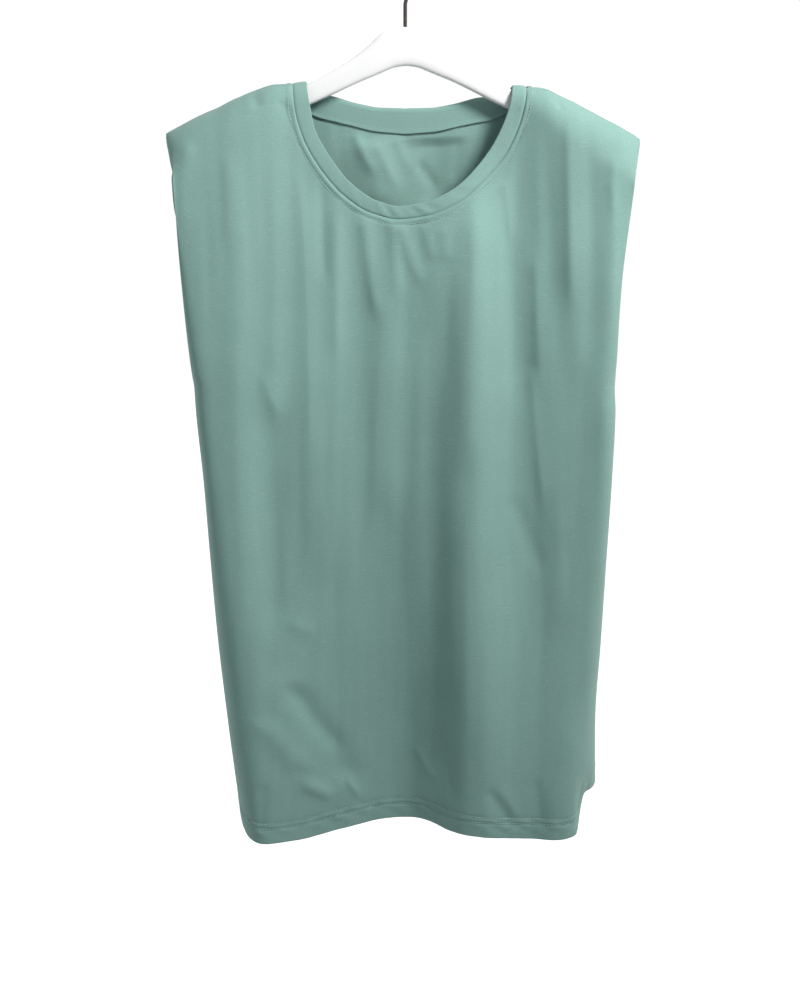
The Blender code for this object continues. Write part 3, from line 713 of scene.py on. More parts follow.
def relief(across, root, above_hem, front):
    """How far the face stands from the smooth cloth.

    It is the sum of the small folds and the hanging lines, calmed beside the neck seam and at the sides,
    of the seam allowance and the grooves at the seam, and of the hem's turn, its grooves and its puckers.
    """
    drop, left, right = sides(across, root)
    edge = np.abs(2 * np.clip((across - left) / (right - left), 0, 1) - 1)
    away = seam_distance(across, root)
    free = smooth(away / SEAM_CALM) * (1 - edge ** FOLD_EDGE_POWER)
    height = creases(across, drop, FRONT_CREASES if front else BACK_CREASES) * free
    height += hanging_lines(across, drop) * free
    height += ALLOWANCE_RISE * (1 - smooth((away - ALLOWANCE_WIDTH) / ALLOWANCE_FADE))
    height -= bell(away - NECK_ROW, *NECK_ROW_GROOVE) + bell(away, *SEAM_GROOVE)
    height += HEM_RISE * (1 - smooth((above_hem - HEM_DEPTH) / HEM_RISE_FADE))
    for row in HEM_ROWS:
        height -= bell(above_hem - row, *HEM_GROOVE)
    return height + hem_puckers(across, above_hem)


def neck_spread():
    """Shares of the columns along the neck: even steps mixed with a cosine's, crowded at both ends."""
    even = np.linspace(0, 1, NECK_COLUMNS + 1)
    return even * (1 - NECK_CROWDING) + (1 - np.cos(math.pi * even)) / 2 * NECK_CROWDING


def top_edge(front):
    """Top edge of a panel, from armhole to armhole: across, root and share of the panel's width.

    It follows the shoulder seam to the neck, the neck seam round, and the other shoulder seam out again.
    """
    left, right = shoulder_turns(SHOULDER_SEAM_ROOT)
    turns = left + ((right if front else right - 360) - left) * neck_spread()
    neck_x, neck_root = neck_ring(turns, 0)
    crowd = np.linspace(0, 1, SHOULDER_COLUMNS + 1)[:-1] ** COLUMN_CROWDING
    left_tip, right_tip = SHOULDER_TIPS
    left_x = left_tip + (neck_x[0] - left_tip) * crowd
    right_x = right_tip + (neck_x[-1] - right_tip) * crowd[::-1]
    across = np.concatenate([left_x, neck_x, right_x])
    front_seam = SHOULDER_SEAM_ROOT + SHOULDER_SEAM_STEP / tip_closing(across, 0, left_tip, right_tip)
    roots = front_seam.copy() if front else np.full_like(across, SHOULDER_SEAM_ROOT)
    roots[SHOULDER_COLUMNS + 1:-SHOULDER_COLUMNS - 1] = neck_root[1:-1]
    even = neck_x[0] + (neck_x[-1] - neck_x[0]) * neck_spread()
    share = (np.concatenate([left_x, even, right_x]) - left_tip) / (right_tip - left_tip)
    return across, roots, share


def fall(top_x, top_root, share, root):
    """Across of the cloth's columns at each root: upright at the shoulder, then spread to the outline.

    The share of the outline's width goes from the column's own at the top to its flat share at
    FANNED_ROOT, by (1 - run squared) squared. It is worked out again a few times, because the drop
    depends on across.
    """
    _, left, right = sides(top_x, top_root)
    top_share = np.clip((top_x - left) / (right - left), 0, 1)
    run = np.clip((np.abs(root) - np.abs(top_root)) / (FANNED_ROOT - np.abs(top_root)), 0, 1)
    held = (1 - run ** 2) ** 2
    across = top_x + 0 * root
    for _ in range(6):
        _, left, right = sides(across, root)
        across = left + (right - left) * (share + (top_share - share) * held)
    return across


def panel_columns(front):
    """Across and root of many points down each column of a panel, from its top edge to its hem."""
    top_x, top_root, share = top_edge(front)
    hem = curve(share, table(HEM)[0], table(HEM)[1 if front else 2])
    down = np.linspace(0, 1, PATH_ROWS + 1)[:, None] ** PATH_CROWDING
    low_x = top_x
    for _ in range(4):
        end = np.sqrt(hem - ridge(low_x)) * (1 if front else -1)
        low_x = fall(top_x, top_root, share, end)
    root = top_root + (end - top_root) * down
    return fall(top_x, top_root, share, root), root, share


def row_places(length):
    """Distances down a column at which its rows lie: close together near both ends, wider between."""
    fine = np.arange(0, END_STRETCH, END_SPACING)
    middle = int((COLUMN_LENGTH - 2 * END_STRETCH) / MIDDLE_SPACING)
    between = np.linspace(END_STRETCH, length - END_STRETCH, middle)
    return np.concatenate([fine, between, length - fine[::-1]])


def panel_grid(front):
    """Across, root, height above the hem and share of the width on a fine grid, spaced by real distance.

    The first and last columns are set on the outline itself, where the front and the back meet.
    """
    across, root, share = panel_columns(front)
    points = cloth(across, root)
    steps = np.linalg.norm(np.diff(points, axis=0), axis=-1)
    runs = np.concatenate([0 * steps[:1], np.cumsum(steps, axis=0)])
    columns = []
    for k in range(across.shape[1]):
        places = row_places(runs[-1, k])
        columns.append([
            np.interp(places, runs[:, k], across[:, k]),
            np.interp(places, runs[:, k], root[:, k]),
            runs[-1, k] - places,
        ])
    fine_across, fine_root, above_hem = np.array(columns).transpose(1, 2, 0)
    for side, column in enumerate((0, -1)):
        for _ in range(12):
            fine_across[:, column] = sides(fine_across[:, column], fine_root[:, column])[1 + side]
    return fine_across, fine_root, above_hem, share


def tiles(number):
    """Four-sided faces between the neighbours of a grid of point numbers."""
    corners = [number[:-1, :-1], number[1:, :-1], number[1:, 1:], number[:-1, 1:]]
    return np.stack(corners, -1).reshape(-1, 4)


def closed(number, axis):
    """A grid of point numbers with its first row or column once more at its end."""
    return np.concatenate([number, np.take(number, [0], axis)], axis)


def mesh_object(name, points, faces, material, uv=None):
    """A smooth mesh object at the origin, from points in millimetres, with a flat place for each."""
    mesh = bpy.data.meshes.new(name)
    faces = faces.tolist() if hasattr(faces, "tolist") else faces
    mesh.from_pydata((np.reshape(points, (-1, 3)) * MM).tolist(), [], faces)
    if uv is not None:
        corners = np.zeros(len(mesh.loops), np.int32)
        mesh.loops.foreach_get("vertex_index", corners)
        layer = mesh.uv_layers.new(name="flat")
        layer.data.foreach_set("uv", (np.reshape(uv, (-1, 2))[corners] * MM).astype(np.float32).ravel())
    mesh.materials.append(material)
    mesh.shade_smooth()
    thing = bpy.data.objects.new(name, mesh)
    bpy.context.scene.collection.objects.link(thing)
    return thing


def shell(name, outer, inner, material, flat):
    """A closed sheet between two grids of points, the first outside, with a wall along each edge."""
    rows, columns = outer.shape[:2]
    number = np.arange(rows * columns).reshape(rows, columns)
    under = number + rows * columns
    faces = [
        tiles(number),
        tiles(under)[:, ::-1],
        tiles(np.stack([number[:, 0], under[:, 0]])),
        tiles(np.stack([number[:, -1], under[:, -1]]))[:, ::-1],
        tiles(np.stack([number[0], under[0]]))[:, ::-1],
        tiles(np.stack([number[-1], under[-1]])),
    ]
    points = np.concatenate([outer.reshape(-1, 3), inner.reshape(-1, 3)])
    return mesh_object(name, points, np.concatenate(faces), material, np.stack([flat, flat]))


def tube(name, rings, material):
    """A closed solid through rings of points, its ends closed by flat faces."""
    count, around = rings.shape[:2]
    number = np.arange(count * around).reshape(count, around)
    ends = [number[0, ::-1].tolist(), number[-1].tolist()]
    faces = tiles(closed(number, 1))[:, ::-1].tolist() + ends
    return mesh_object(name, rings, faces, material)


def finish_piece(thing, slot, *nodes):
    """A piece carried by the one body, hiding the frame's nodes that it replaces. The slot is not used."""
    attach(thing, "root")
    if nodes:
        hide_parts(*nodes)
    return thing


class Value:
    """A shader socket that takes part in sums as a number does."""

    def __init__(self, nodes, socket):
        self.nodes = nodes
        self.socket = socket

    def math(self, operation, *others):
        """What a Math node makes of this value and others."""
        inputs = dict(enumerate((self, *others)))
        return self.nodes.value("ShaderNodeMath", {"operation": operation}, inputs)

    def __add__(self, other):
        return self.math("ADD", other)

    def __mul__(self, other):
        return self.math("MULTIPLY", other)

    __radd__ = __add__
    __rmul__ = __mul__

    def sin(self):
        """Sine of the value, in radians."""
        return self.math("SINE")

    def size(self):
        """The value without its sign."""
        return self.math("ABSOLUTE")

    def ramp(self, low, high, bottom=0.0, top=1.0):
        """bottom below low, top above high, and smooth between them."""
        inputs = {"Value": self, "From Min": low, "From Max": high, "To Min": bottom, "To Max": top}
        return self.nodes.value("ShaderNodeMapRange", {"interpolation_type": "SMOOTHSTEP"}, inputs)


class Nodes:
    """The nodes of a material or of the surround."""

    def __init__(self, tree):
        self.tree = tree

    def feed(self, socket, value):
        """Links a value or another socket to a socket, or sets it to a number or a colour."""
        if isinstance(value, Value):
            self.tree.links.new(value.socket, socket)
        elif isinstance(value, bpy.types.NodeSocket):
            self.tree.links.new(value, socket)
        elif isinstance(value, tuple):
            socket.default_value = (*value, 1)
        else:
            socket.default_value = value

    def node(self, kind, settings=None, inputs=None):
        """A new node of a type, its settings set first and then its sockets fed."""
        made = self.tree.nodes.new(kind)
        for key, value in (settings or {}).items():
            setattr(made, key, value)
        for key, value in (inputs or {}).items():
            self.feed(made.inputs[key], value)
        return made

    def value(self, kind, settings=None, inputs=None, output=0):
        """A new node's output as a value for sums."""
        return Value(self, self.node(kind, settings, inputs).outputs[output])

    def part(self, place, index):
        """One of the three numbers of a place."""
        return self.value("ShaderNodeSeparateXYZ", None, {0: place}, index)

    def mix(self, factor, first, second):
        """The first colour where factor is 0, and the second where it is 1."""
        inputs = {0: factor, 6: first, 7: second}
        return self.node("ShaderNodeMix", {"data_type": "RGBA"}, inputs).outputs[2]


class Shader(Nodes):
    """One material: its Principled BSDF and the nodes that feed it."""

    def __init__(self, name, colour, roughness, inputs=None):
        self.material = bpy.data.materials.new(name)
        self.material.use_nodes = True
        super().__init__(self.material.node_tree)
        self.surface = self.tree.nodes["Principled BSDF"]
        for key, value in {"Base Color": colour, "Roughness": roughness, **(inputs or {})}.items():
            self.feed(self.surface.inputs[key], value)

    def flat_place(self):
        """The two numbers of the piece's flat place, in metres across and down the cloth."""
        spot = self.node("ShaderNodeUVMap", {"uv_map": "flat"}).outputs[0]
        return self.part(spot, 0), self.part(spot, 1)

    def body_place(self):
        """Place on the piece, in metres."""
        return self.node("ShaderNodeTexCoord").outputs["Object"]

    def noise(self, place, scale, detail):
        """Soft noise between 0 and 1, with scale patches to the metre."""
        return self.value("ShaderNodeTexNoise", None, {"Vector": place, "Scale": scale, "Detail": detail})

    def streaks(self, across, down, detail):
        """Noise on the cloth's flat place, with each of its two numbers already scaled."""
        place = self.node("ShaderNodeCombineXYZ", None, {0: across, 1: down}).outputs[0]
        return self.noise(place, 1.0, detail)

    def bump(self, height, strength, distance):
        """Bends the light by a height, as a strength of a real distance in metres."""
        inputs = {"Height": height, "Strength": strength, "Distance": distance}
        self.feed(self.surface.inputs["Normal"], self.node("ShaderNodeBump", None, inputs).outputs[0])

    def colour(self, socket):
        """Feeds the base colour."""
        self.feed(self.surface.inputs["Base Color"], socket)


def jersey(name, wale=0.75, slub=1.0):
    """Matt slub jersey: fine wales and courses, soft mottling, and sparse short dashes of thicker yarn.

    The base is a mix of two sages by mottling and grain, and each dash mixes in a lighter or a darker
    one. A dash's noise has few patches across the cloth and many down it. The wales are the size of a
    sine, wale millimetres apart, and the courses are a sine a little closer.
    """
    finish = {"Sheen Weight": 0.12, "Sheen Roughness": 0.5, "Specular IOR Level": 0.25}
    shader = Shader(name, SAGE, 0.88, finish)
    across, down = shader.flat_place()
    mottle = shader.noise(shader.body_place(), 26.0, 3.0).ramp(0.30, 0.70)
    speck = shader.streaks(across * 900.0, down * 1500.0, 1.0)
    light_dash = shader.streaks(across * 90.0, down * 800.0, 0.0).ramp(0.725, 0.80)
    dark_dash = shader.streaks(across * 100.0 + 31.0, down * 780.0, 0.0).ramp(0.72, 0.79)
    grain = shader.streaks(across * 420.0, down * 640.0, 3.0).ramp(0.30, 0.72)
    base = shader.mix(mottle * 0.25 + grain * 0.55, SAGE, SAGE_DARK)
    lit = shader.mix(light_dash * (0.6 * slub), base, SAGE_LIGHT)
    shader.colour(shader.mix(dark_dash * (0.65 * slub), lit, SAGE_DARK))
    wales = (across * (math.pi / (wale * MM))).sin().size()
    courses = (down * (2 * math.pi / (wale * 0.8 * MM))).sin()
    shader.bump(wales * 0.7 + courses * 0.2 + light_dash * 1.2 + speck * 0.3, 0.35, 0.00012)
    return shader.material


def band_jersey():
    """Jersey folded double for the band and tape: the same yarn, with wider wales and fainter dashes."""
    return jersey("band_jersey", wale=0.9, slub=0.3)


def thread():
    """Sewing thread a little lighter than the cloth, mottled finely by noise as its twist is."""
    shader = Shader("sewing_thread", (0.300, 0.450, 0.400), 0.6, {"Sheen Weight": 0.2})
    twist = shader.noise(shader.body_place(), 2200.0, 1.0)
    shader.colour(shader.mix(twist, (0.270, 0.415, 0.365), (0.335, 0.490, 0.440)))
    return shader.material


def pad_cloth():
    """Thin plain cloth over foam: a soft mix of two pale tones, with fine noise for its pores."""
    shader = Shader("pad_cloth", (0.60, 0.64, 0.60), 0.9, {"Sheen Weight": 0.1})
    place = shader.body_place()
    pores = shader.noise(place, 900.0, 2.0)
    tone = shader.noise(place, 40.0, 2.0)
    shader.colour(shader.mix(tone.ramp(0.3, 0.7) * 0.6, (0.60, 0.64, 0.60), (0.52, 0.57, 0.53)))
    shader.bump(pores, 0.4, 0.0003)
    return shader.material


def white_plastic():
    """Satin white moulded plastic: broad noise in its tone and gloss, and fine noise as its grain."""
    finish = {"Coat Weight": 0.15, "Coat Roughness": 0.3}
    shader = Shader("white_plastic", (0.76, 0.76, 0.765), 0.38, finish)
    place = shader.body_place()
    flow = shader.noise(place, 18.0, 3.0)
    grain = shader.noise(place, 700.0, 2.0)
    shader.colour(shader.mix(flow.ramp(0.35, 0.75) * 0.5, (0.77, 0.77, 0.775), (0.74, 0.74, 0.75)))
    shader.feed(shader.surface.inputs["Roughness"], 0.33 + flow * 0.12)
    shader.bump(grain, 0.08, 0.0002)
    return shader.material


def bronzed_wire():
    """Dark bronzed steel wire: streaks of noise, and a brighter top of the bow, where it rubs."""
    shader = Shader("bronzed_wire", (0.10, 0.085, 0.08), 0.35, {"Metallic": 1.0})
    place = shader.body_place()
    streak = shader.noise(place, 160.0, 3.0)
    worn = shader.part(place, 2).ramp(-0.010, 0.001) * streak.ramp(0.35, 0.6)
    shader.colour(shader.mix(worn * 0.6 + streak * 0.2, (0.085, 0.072, 0.068), (0.26, 0.235, 0.215)))
    shader.feed(shader.surface.inputs["Roughness"], 0.28 + streak * 0.2)
    return shader.material


def make_panel(name, front, material):
    """A panel: the cloth's surface moved out by its relief, and a wall inward, double at turned edges."""
    across, root, above_hem, share = panel_grid(front)
    normals = cloth_normals(across, root)
    outer = cloth(across, root) + normals * relief(across, root, above_hem, front)[..., None]
    drop, left, right = sides(across, root)
    from_side = np.minimum(across - left, right - across)
    hem_turn = 1 - smooth((above_hem - HEM_DEPTH) / TURN_FADE)
    side_turn = 1 - smooth((from_side - ARMHOLE_TURN) / TURN_FADE)
    side_turn = side_turn * (1 - smooth((drop - ARMHOLE_FOOT) / ARMHOLE_FADE))
    thick = JERSEY * (1 + np.maximum(hem_turn, side_turn))
    inner = outer - normals * thick[..., None]
    flat = np.stack([np.broadcast_to((share - 0.5) * FLAT_WIDTH, across.shape), above_hem], -1)
    if not front:
        outer, inner, flat = outer[:, ::-1], inner[:, ::-1], flat[:, ::-1]
    return shell(name, outer, inner, material, flat)


def make_neckband(material):
    """The folded band: a flat loop with a rounded fold at its free edge, carried once round the neck.

    Its profile goes over the outer face, puffed by half a sine and tucked in at the seam by a bell, round
    the fold on half an ellipse, and back along the inner face. Where the band is slack, in front, two
    sine waves round the neck pucker it.
    """
    turns = np.linspace(-180, 180, 481)[:-1]
    over = np.linspace(BAND_START, BAND_FOLD, 15)
    run = (over - BAND_START) / (BAND_FOLD - BAND_START)
    puff = BAND_PUFF * np.sin(run * math.pi) - bell(run, BAND_TUCK, 0.09)
    bend = np.radians(np.linspace(90, -90, 7)[1:-1])
    fold = BAND_FOLD + np.cos(bend) * (1 - BAND_FOLD)
    fold_lift = BAND_THICK / 2 * (np.sin(bend) - 1)
    under_lift = -BAND_THICK - 0.2 * np.sin(run[::-1] * math.pi)
    shares = np.concatenate([over, fold, over[::-1]])
    lifts = np.concatenate([puff, fold_lift, under_lift])
    across, root = neck_ring(turns[:, None], shares[None])
    face_share = np.clip(shares, 0, 1)
    radians = np.radians(turns)[:, None] + 0.10 * face_share
    pull = np.sin(radians * 29) + 0.8 * np.sin(radians * 46 + 1)
    slack = smooth(1 - np.abs(turns - BAND_SLACK_TURN) / BAND_SLACK_REACH)[:, None]
    pucker = BAND_PUCKER * pull * slack * np.sin(face_share * math.pi)
    points = cloth(across, root) + cloth_normals(across, root) * (lifts + pucker)[..., None]
    flat = np.stack(np.broadcast_arrays(turns[:, None] / 360 * NECK_LENGTH, shares * BAND_WIDTH), -1)
    number = np.arange(points.size // 3).reshape(points.shape[:2])
    faces = tiles(closed(closed(number, 0), 1))
    return mesh_object("neckband_loop", points, faces, material, flat)


def make_neck_tape(material):
    """The tape inside the back neck: a thin strip over the band's inner face and the seam.

    Its share of the band runs from just below the fold, above 0, to its own width below the seam. It
    thins to a feather edge at the top and at both ends, and a bell near its foot is the edge turned in.
    """
    turns = np.linspace(NECK_TAPE[0][0], NECK_TAPE[-1][0], 150)
    width = curve(turns, *table(NECK_TAPE))
    foot_rows = [1.0, 0.97, 0.9, 0.8, 0.65]
    down = np.concatenate([foot_rows, np.linspace(0.5, 0, 4), np.linspace(0, -1, 12)[1:]])
    shares = np.where(down > 0, -np.outer(width, down) / BAND_WIDTH, -down * TAPE_REACH)
    across, root = neck_ring(turns[:, None], shares)
    normals = cloth_normals(across, root)
    feather = smooth((down + 1) / 0.25)
    ends = smooth(np.minimum(turns - turns[0], turns[-1] - turns) / 12)[:, None]
    body = (TAPE_THICK - TAPE_EDGE) * feather * (0.4 + 0.6 * ends)
    thick = TAPE_EDGE + body + bell(down - 0.9, TAPE_FOOT, 0.12)
    outer = cloth(across, root) - normals * (JERSEY + TAPE_GAP)
    inner = outer - normals * thick[..., None]
    run = (turns - turns[0]) / 360 * NECK_LENGTH
    flat = np.stack(np.broadcast_arrays(run[:, None], -shares * BAND_WIDTH), -1)
    return shell("back_neck_tape", outer, inner, material, flat)


def hanger_top(across):
    """Drop of the hanger's top edge, which runs on straight past its ends."""
    hanger_x, tops = table(HANGER_OUTLINE)[:2]
    steep = (tops[-1] - tops[-2]) / (hanger_x[-1] - hanger_x[-2])
    return curve(across, hanger_x, tops) + np.maximum(np.abs(across) - HANGER_END, 0) * steep


def make_pad(name, material):
    """A half-moon pad: its top follows the cloth, and its underside swells down to the hanger.

    Columns of the cloth cross the ridge at the pad's stations. The thickness goes from the edge's to the
    room above the hanger, by 1 less a power of the distance from the ridge, and is laid off towards the
    roll's centre line. Two waves that cross quilt the underside.
    """
    tops, reach = table(PADS[name])
    share = np.linspace(0, 1, len(tops))
    station = np.linspace(0, 1, PAD_STATIONS)
    top_x = curve(station, share, tops)[:, None]
    side = np.linspace(-1, 1, PAD_AROUND + 1)[None]
    root = curve(station, share, reach)[:, None] * side
    left_tip, right_tip = SHOULDER_TIPS
    across = fall(top_x, SHOULDER_SEAM_ROOT, (top_x - left_tip) / (right_tip - left_tip), root)
    face = cloth(across, root) - cloth_normals(across, root) * (JERSEY * 2 + PAD_GAP)
    face_drop = -face[..., 2]
    line_x, ridges, _, rolls = table(SHOULDER_LINE)
    centre = np.maximum(curve(across, line_x, ridges) + curve(across, line_x, rolls), face_drop)
    inwards = np.stack([0 * across, -face[..., 1], face_drop - centre], -1)
    inwards /= np.linalg.norm(inwards, axis=-1, keepdims=True)
    room = hanger_top(across) - face_drop.min(axis=1, keepdims=True) - PAD_CROWN
    quilt = PAD_QUILT * np.sin(station[:, None] * PAD_QUILT_WAVES[0]) * np.cos(side * PAD_QUILT_WAVES[1])
    thick = PAD_EDGE + (np.maximum(room, PAD_EDGE) - PAD_EDGE) * (1 - np.abs(side) ** PAD_SWELL_POWER)
    under = face + inwards * (thick + quilt * (1 - side ** 2))[..., None]
    flat = np.stack(np.broadcast_arrays(top_x, root * PAD_FLAT_REACH), -1)
    if tops[0] > 0:
        face, under, flat = face[::-1], under[::-1], flat[::-1]
    return shell(name.replace("shoulder_", ""), face[::-1], under[::-1], material, flat[::-1])


def make_hanger_body(material):
    """The flat arched hanger: upright sections along its length, rounded off at both ends.

    Each section is a superellipse: cosine and sine to the power of 2 over HANGER_CORNER_POWER, with their
    signs. It shrinks at the ends by a quarter circle.
    """
    hanger_x, tops, bottoms = table(HANGER_OUTLINE)
    x = HANGER_END * np.sin(np.linspace(-1, 1, HANGER_STATIONS) * math.pi / 2)
    past = np.clip((np.abs(x) - HANGER_END + HANGER_END_ROUND) / HANGER_END_ROUND, 0, 1)
    inset = (HANGER_END_ROUND * (1 - np.sqrt(1 - past ** 2)))[:, None]
    angles = np.linspace(0, 2 * math.pi, HANGER_AROUND, endpoint=False)
    power = 2 / HANGER_CORNER_POWER
    side = np.sign(np.cos(angles)) * np.abs(np.cos(angles)) ** power
    rise = np.sign(np.sin(angles)) * np.abs(np.sin(angles)) ** power
    top, bottom = [curve(x, hanger_x, edge)[:, None] for edge in (tops, bottoms)]
    half = (bottom - top) / 2 - inset
    y = side * (HANGER_HALF_THICKNESS - inset)
    rings = np.stack([x[:, None] + 0 * y, y, rise * half - (top + bottom) / 2], -1)
    return tube("moulded_hanger", rings, material)


def hook_path():
    """Centre line of the hook: straight up the stem, a cubic bend to the right, and an arc over it."""
    radius = HOOK_INSIDE_RADIUS + HOOK_WIRE / 2
    centre_z = -HOOK_INSIDE_RADIUS
    start, finish = np.radians(HOOK_ARC)
    stem_top = np.array([0.0, -HOOK_STEM_TOP])
    join = np.array([radius * math.cos(start), centre_z + radius * math.sin(start)])
    t = np.linspace(0, 1, 25)[1:-1, None]
    out_of_stem = stem_top + np.array([0, HOOK_BEND])
    into_arc = join - HOOK_BEND * np.array([-math.sin(start), math.cos(start)])
    first_half = (1 - t) ** 3 * stem_top + 3 * t * (1 - t) ** 2 * out_of_stem
    bend = first_half + 3 * t * t * (1 - t) * into_arc + t ** 3 * join
    angles = np.linspace(start, finish, 90)
    arc = np.stack([radius * np.cos(angles), centre_z + radius * np.sin(angles)], -1)
    stem = np.linspace([0.0, -HOOK_FOOT], stem_top, 12)
    flat = np.concatenate([stem, bend, arc])
    return np.stack([flat[:, 0], 0 * flat[:, 0], flat[:, 1]], -1)


def make_hanger_hook(material):
    """The wire hook: a circle carried along its centre line, with a tip domed by a quarter circle."""
    path = hook_path()
    along = np.gradient(path, axis=0)
    along /= np.linalg.norm(along, axis=1, keepdims=True)
    dome = np.radians(HOOK_DOME)[:, None]
    radius = np.concatenate([np.full(len(path), HOOK_WIRE / 2), np.cos(dome[:, 0]) * HOOK_WIRE / 2])
    path = np.concatenate([path, path[-1] + along[-1] * np.sin(dome) * HOOK_WIRE / 2])
    along = np.concatenate([along, np.repeat(along[-1:], len(dome), 0)])
    angles = np.linspace(0, 2 * math.pi, HOOK_SIDES, endpoint=False)[None, :, None]
    sideways = np.array([0.0, 1.0, 0.0])
    upright = np.cross(along, sideways)[:, None]
    rings = path[:, None] + (np.cos(angles) * sideways + np.sin(angles) * upright) * radius[:, None, None]
    return tube("wire_hook", rings[:, ::-1], material)


def along_row(at, runs, row):
    """Values of a row of vectors at given distances along it."""
    return np.stack([np.interp(at, runs, column) for column in row.T], -1)


def make_stitches(name, rows, material):
    """Sewing thread: short capsules along each row of points, half sunk in the cloth.

    A capsule is rings about the row's line, with the radii of STITCH_PROFILE. Its middle is lifted by 0.9
    of the thread's radius, and it sinks at both ends by the fourth power of the distance from the middle.
    """
    along, radius_share = table(STITCH_PROFILE)
    angles = np.linspace(0, 2 * math.pi, THREAD_SIDES, endpoint=False)
    number = np.arange(len(along) * THREAD_SIDES).reshape(len(along), THREAD_SIDES)
    around = tiles(closed(number, 1))
    points, faces, count = [], [], 0
    for line, normals in rows:
        steps = np.linalg.norm(np.diff(line, axis=0), axis=1)
        runs = np.concatenate([[0], np.cumsum(steps)])
        centre = np.arange(STITCH_PITCH, runs[-1] - STITCH_PITCH / 2, STITCH_PITCH)
        at = centre[:, None] + along * STITCH_LENGTH
        spine = along_row(at, runs, line)
        out = along_row(at, runs, normals)
        ahead = np.gradient(spine, axis=1)
        ahead /= np.linalg.norm(ahead, axis=-1, keepdims=True)
        beside = np.cross(ahead, out)
        lift = THREAD_RADIUS * (0.9 - 1.8 * (2 * along) ** 4)
        spine = spine + out * lift[:, None]
        turn = np.cos(angles)[:, None] * beside[..., None, :] + np.sin(angles)[:, None] * out[..., None, :]
        body = spine[..., None, :] + turn * (radius_share * THREAD_RADIUS)[:, None, None]
        points.append(body.reshape(-1, 3))
        first = count + np.arange(len(centre)) * number.size
        faces += (first[:, None, None] + around).reshape(-1, 4).tolist()
        faces += (first[:, None] + number[0]).tolist() + (first[:, None] + number[-1, ::-1]).tolist()
        count += len(centre) * number.size
    return mesh_object(name, np.concatenate(points), faces, material)


def neck_rows():
    """The row of stitches beside the neck seam, once round: its points and outward directions."""
    across, root = neck_ring(np.linspace(-180, 180, 721), -NECK_ROW / BAND_WIDTH)
    normals = cloth_normals(across, root)
    return [(cloth(across, root) + normals * STITCH_SINK, normals)]


def hem_rows():
    """Two rows of stitches round the hem, each on a row of the panel's grid, from side to side."""
    rows = []
    for front in (True, False):
        across, root, above_hem, _ = panel_grid(front)
        for height in HEM_ROWS:
            row = np.argmin(np.abs(above_hem[:, HEM_GAUGE_COLUMN] - height))
            normals = cloth_normals(across[row], root[row])
            rows.append((cloth(across[row], root[row]) - normals * STITCH_SINK, normals))
    return rows


def softbox(name, place, aim, energy, size, spread, tone):
    """A round soft light at a place, turned to face its aim, and kept on the top by a narrow spread."""
    lamp = bpy.data.lights.new(name, "AREA")
    lamp.energy = energy
    lamp.color = tone
    lamp.shape = "DISK"
    lamp.size = size
    lamp.spread = math.radians(spread)
    thing = bpy.data.objects.new(name, lamp)
    thing.location = place
    away = np.array(place) - np.array(aim)
    tilt = math.atan2(math.hypot(away[0], away[1]), away[2])
    thing.rotation_euler = (tilt, 0, math.atan2(away[0], -away[1]))
    thing.visible_camera = False
    bpy.context.scene.collection.objects.link(thing)


def floor_paint():
    """Pale matt paint that glows a little in front of the top and more behind it."""
    paint = Shader("pale_floor", (0.62, 0.62, 0.62), 0.9, {"Emission Strength": 1.0})
    place = paint.body_place()
    paint.colour(paint.mix(paint.noise(place, 3.0, 2.0), (0.61, 0.61, 0.61), (0.63, 0.63, 0.63)))
    behind = paint.part(place, 1).ramp(*FLOOR_GLOW_CHANGE)
    faint, strong = FLOOR_GLOW
    paint.feed(paint.surface.inputs["Emission Color"], paint.mix(behind, (faint,) * 3, (strong,) * 3))
    return paint.material


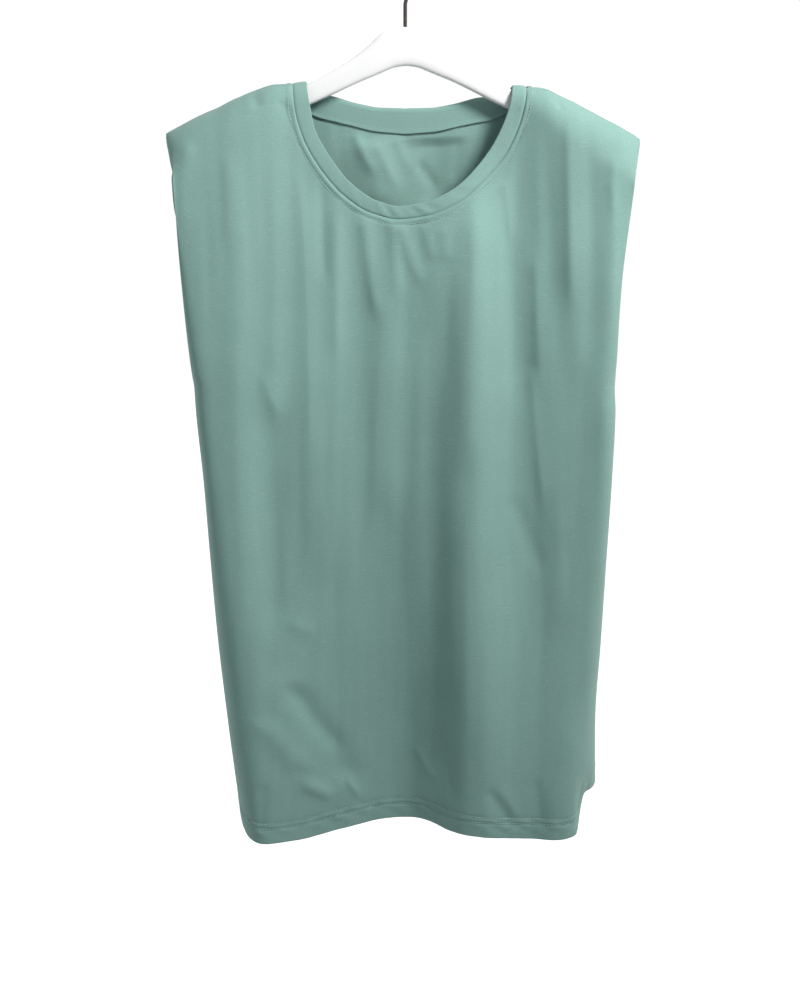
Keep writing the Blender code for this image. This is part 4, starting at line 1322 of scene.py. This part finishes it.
def make_floor():
    """A pale floor far below the top: a flat disc of rings of points."""
    angles = np.linspace(0, 2 * math.pi, FLOOR_AROUND, endpoint=False)
    x = np.outer(FLOOR_RINGS, np.cos(angles))
    y = np.outer(FLOOR_RINGS, np.sin(angles))
    points = np.stack([x, y, np.full(x.shape, FLOOR_HEIGHT)], -1)
    number = closed(np.arange(x.size).reshape(x.shape), 1)
    mesh_object("floor", points, tiles(number), floor_paint())


def make_surround():
    """A pale surround, whose strength and tint change smoothly from in front of the top to behind it."""
    world = bpy.data.worlds.new("surround")
    bpy.context.scene.world = world
    world.use_nodes = True
    nodes = Nodes(world.node_tree)
    sky = nodes.tree.nodes["Background"]
    ahead = nodes.part(nodes.node("ShaderNodeTexCoord").outputs["Generated"], 1)
    strength = ahead.ramp(*SURROUND_CHANGE, *SURROUND_STRENGTH)
    nodes.feed(sky.inputs["Strength"], strength)
    nodes.feed(sky.inputs["Color"], nodes.mix(strength, SURROUND_TINT, (1.0, 1.0, 1.0)))


def make_camera():
    """The camera in front of the top, tilted down a little, and plain display colours."""
    lens = bpy.data.cameras.new("view")
    lens.lens = FOCAL_LENGTH
    lens.sensor_width = SENSOR_WIDTH
    lens.sensor_fit = "AUTO"
    camera = bpy.data.objects.new("view", lens)
    camera.location = CAMERA_PLACE
    camera.rotation_euler = (math.radians(CAMERA_TILT), 0, 0)
    bpy.context.scene.collection.objects.link(camera)
    bpy.context.scene.camera = camera
    bpy.context.scene.view_settings.view_transform = "Standard"


def build():
    """Every piece on the frame's nodes, and the stage around them."""
    body = jersey("slub_jersey")
    band = band_jersey()
    foam = pad_cloth()
    yarn = thread()
    front = make_panel("front_cloth", True, body)
    back = make_panel("back_cloth", False, body)
    loop = finish_piece(make_neckband(band), "neckband_jersey", "neckband")
    tape = finish_piece(make_neck_tape(band), "neckband_jersey", "neck_tape")
    neck_sewing = finish_piece(make_stitches("neck_stitches", neck_rows(), yarn), "jersey")
    hem_sewing = finish_piece(make_stitches("hem_stitches", hem_rows(), yarn), "jersey")
    finish_piece(front, "jersey", "front_panel")
    finish_piece(back, "jersey", "back_panel")
    pads = [finish_piece(make_pad(name, foam), "pad", name) for name in PADS]
    finish_piece(make_hanger_body(white_plastic()), "hanger", "hanger_body")
    finish_piece(make_hanger_hook(bronzed_wire()), "hook", "hanger_hook")
    make_floor()
    make_surround()
    for light in LIGHTS:
        softbox(*light)
    make_camera()


build()
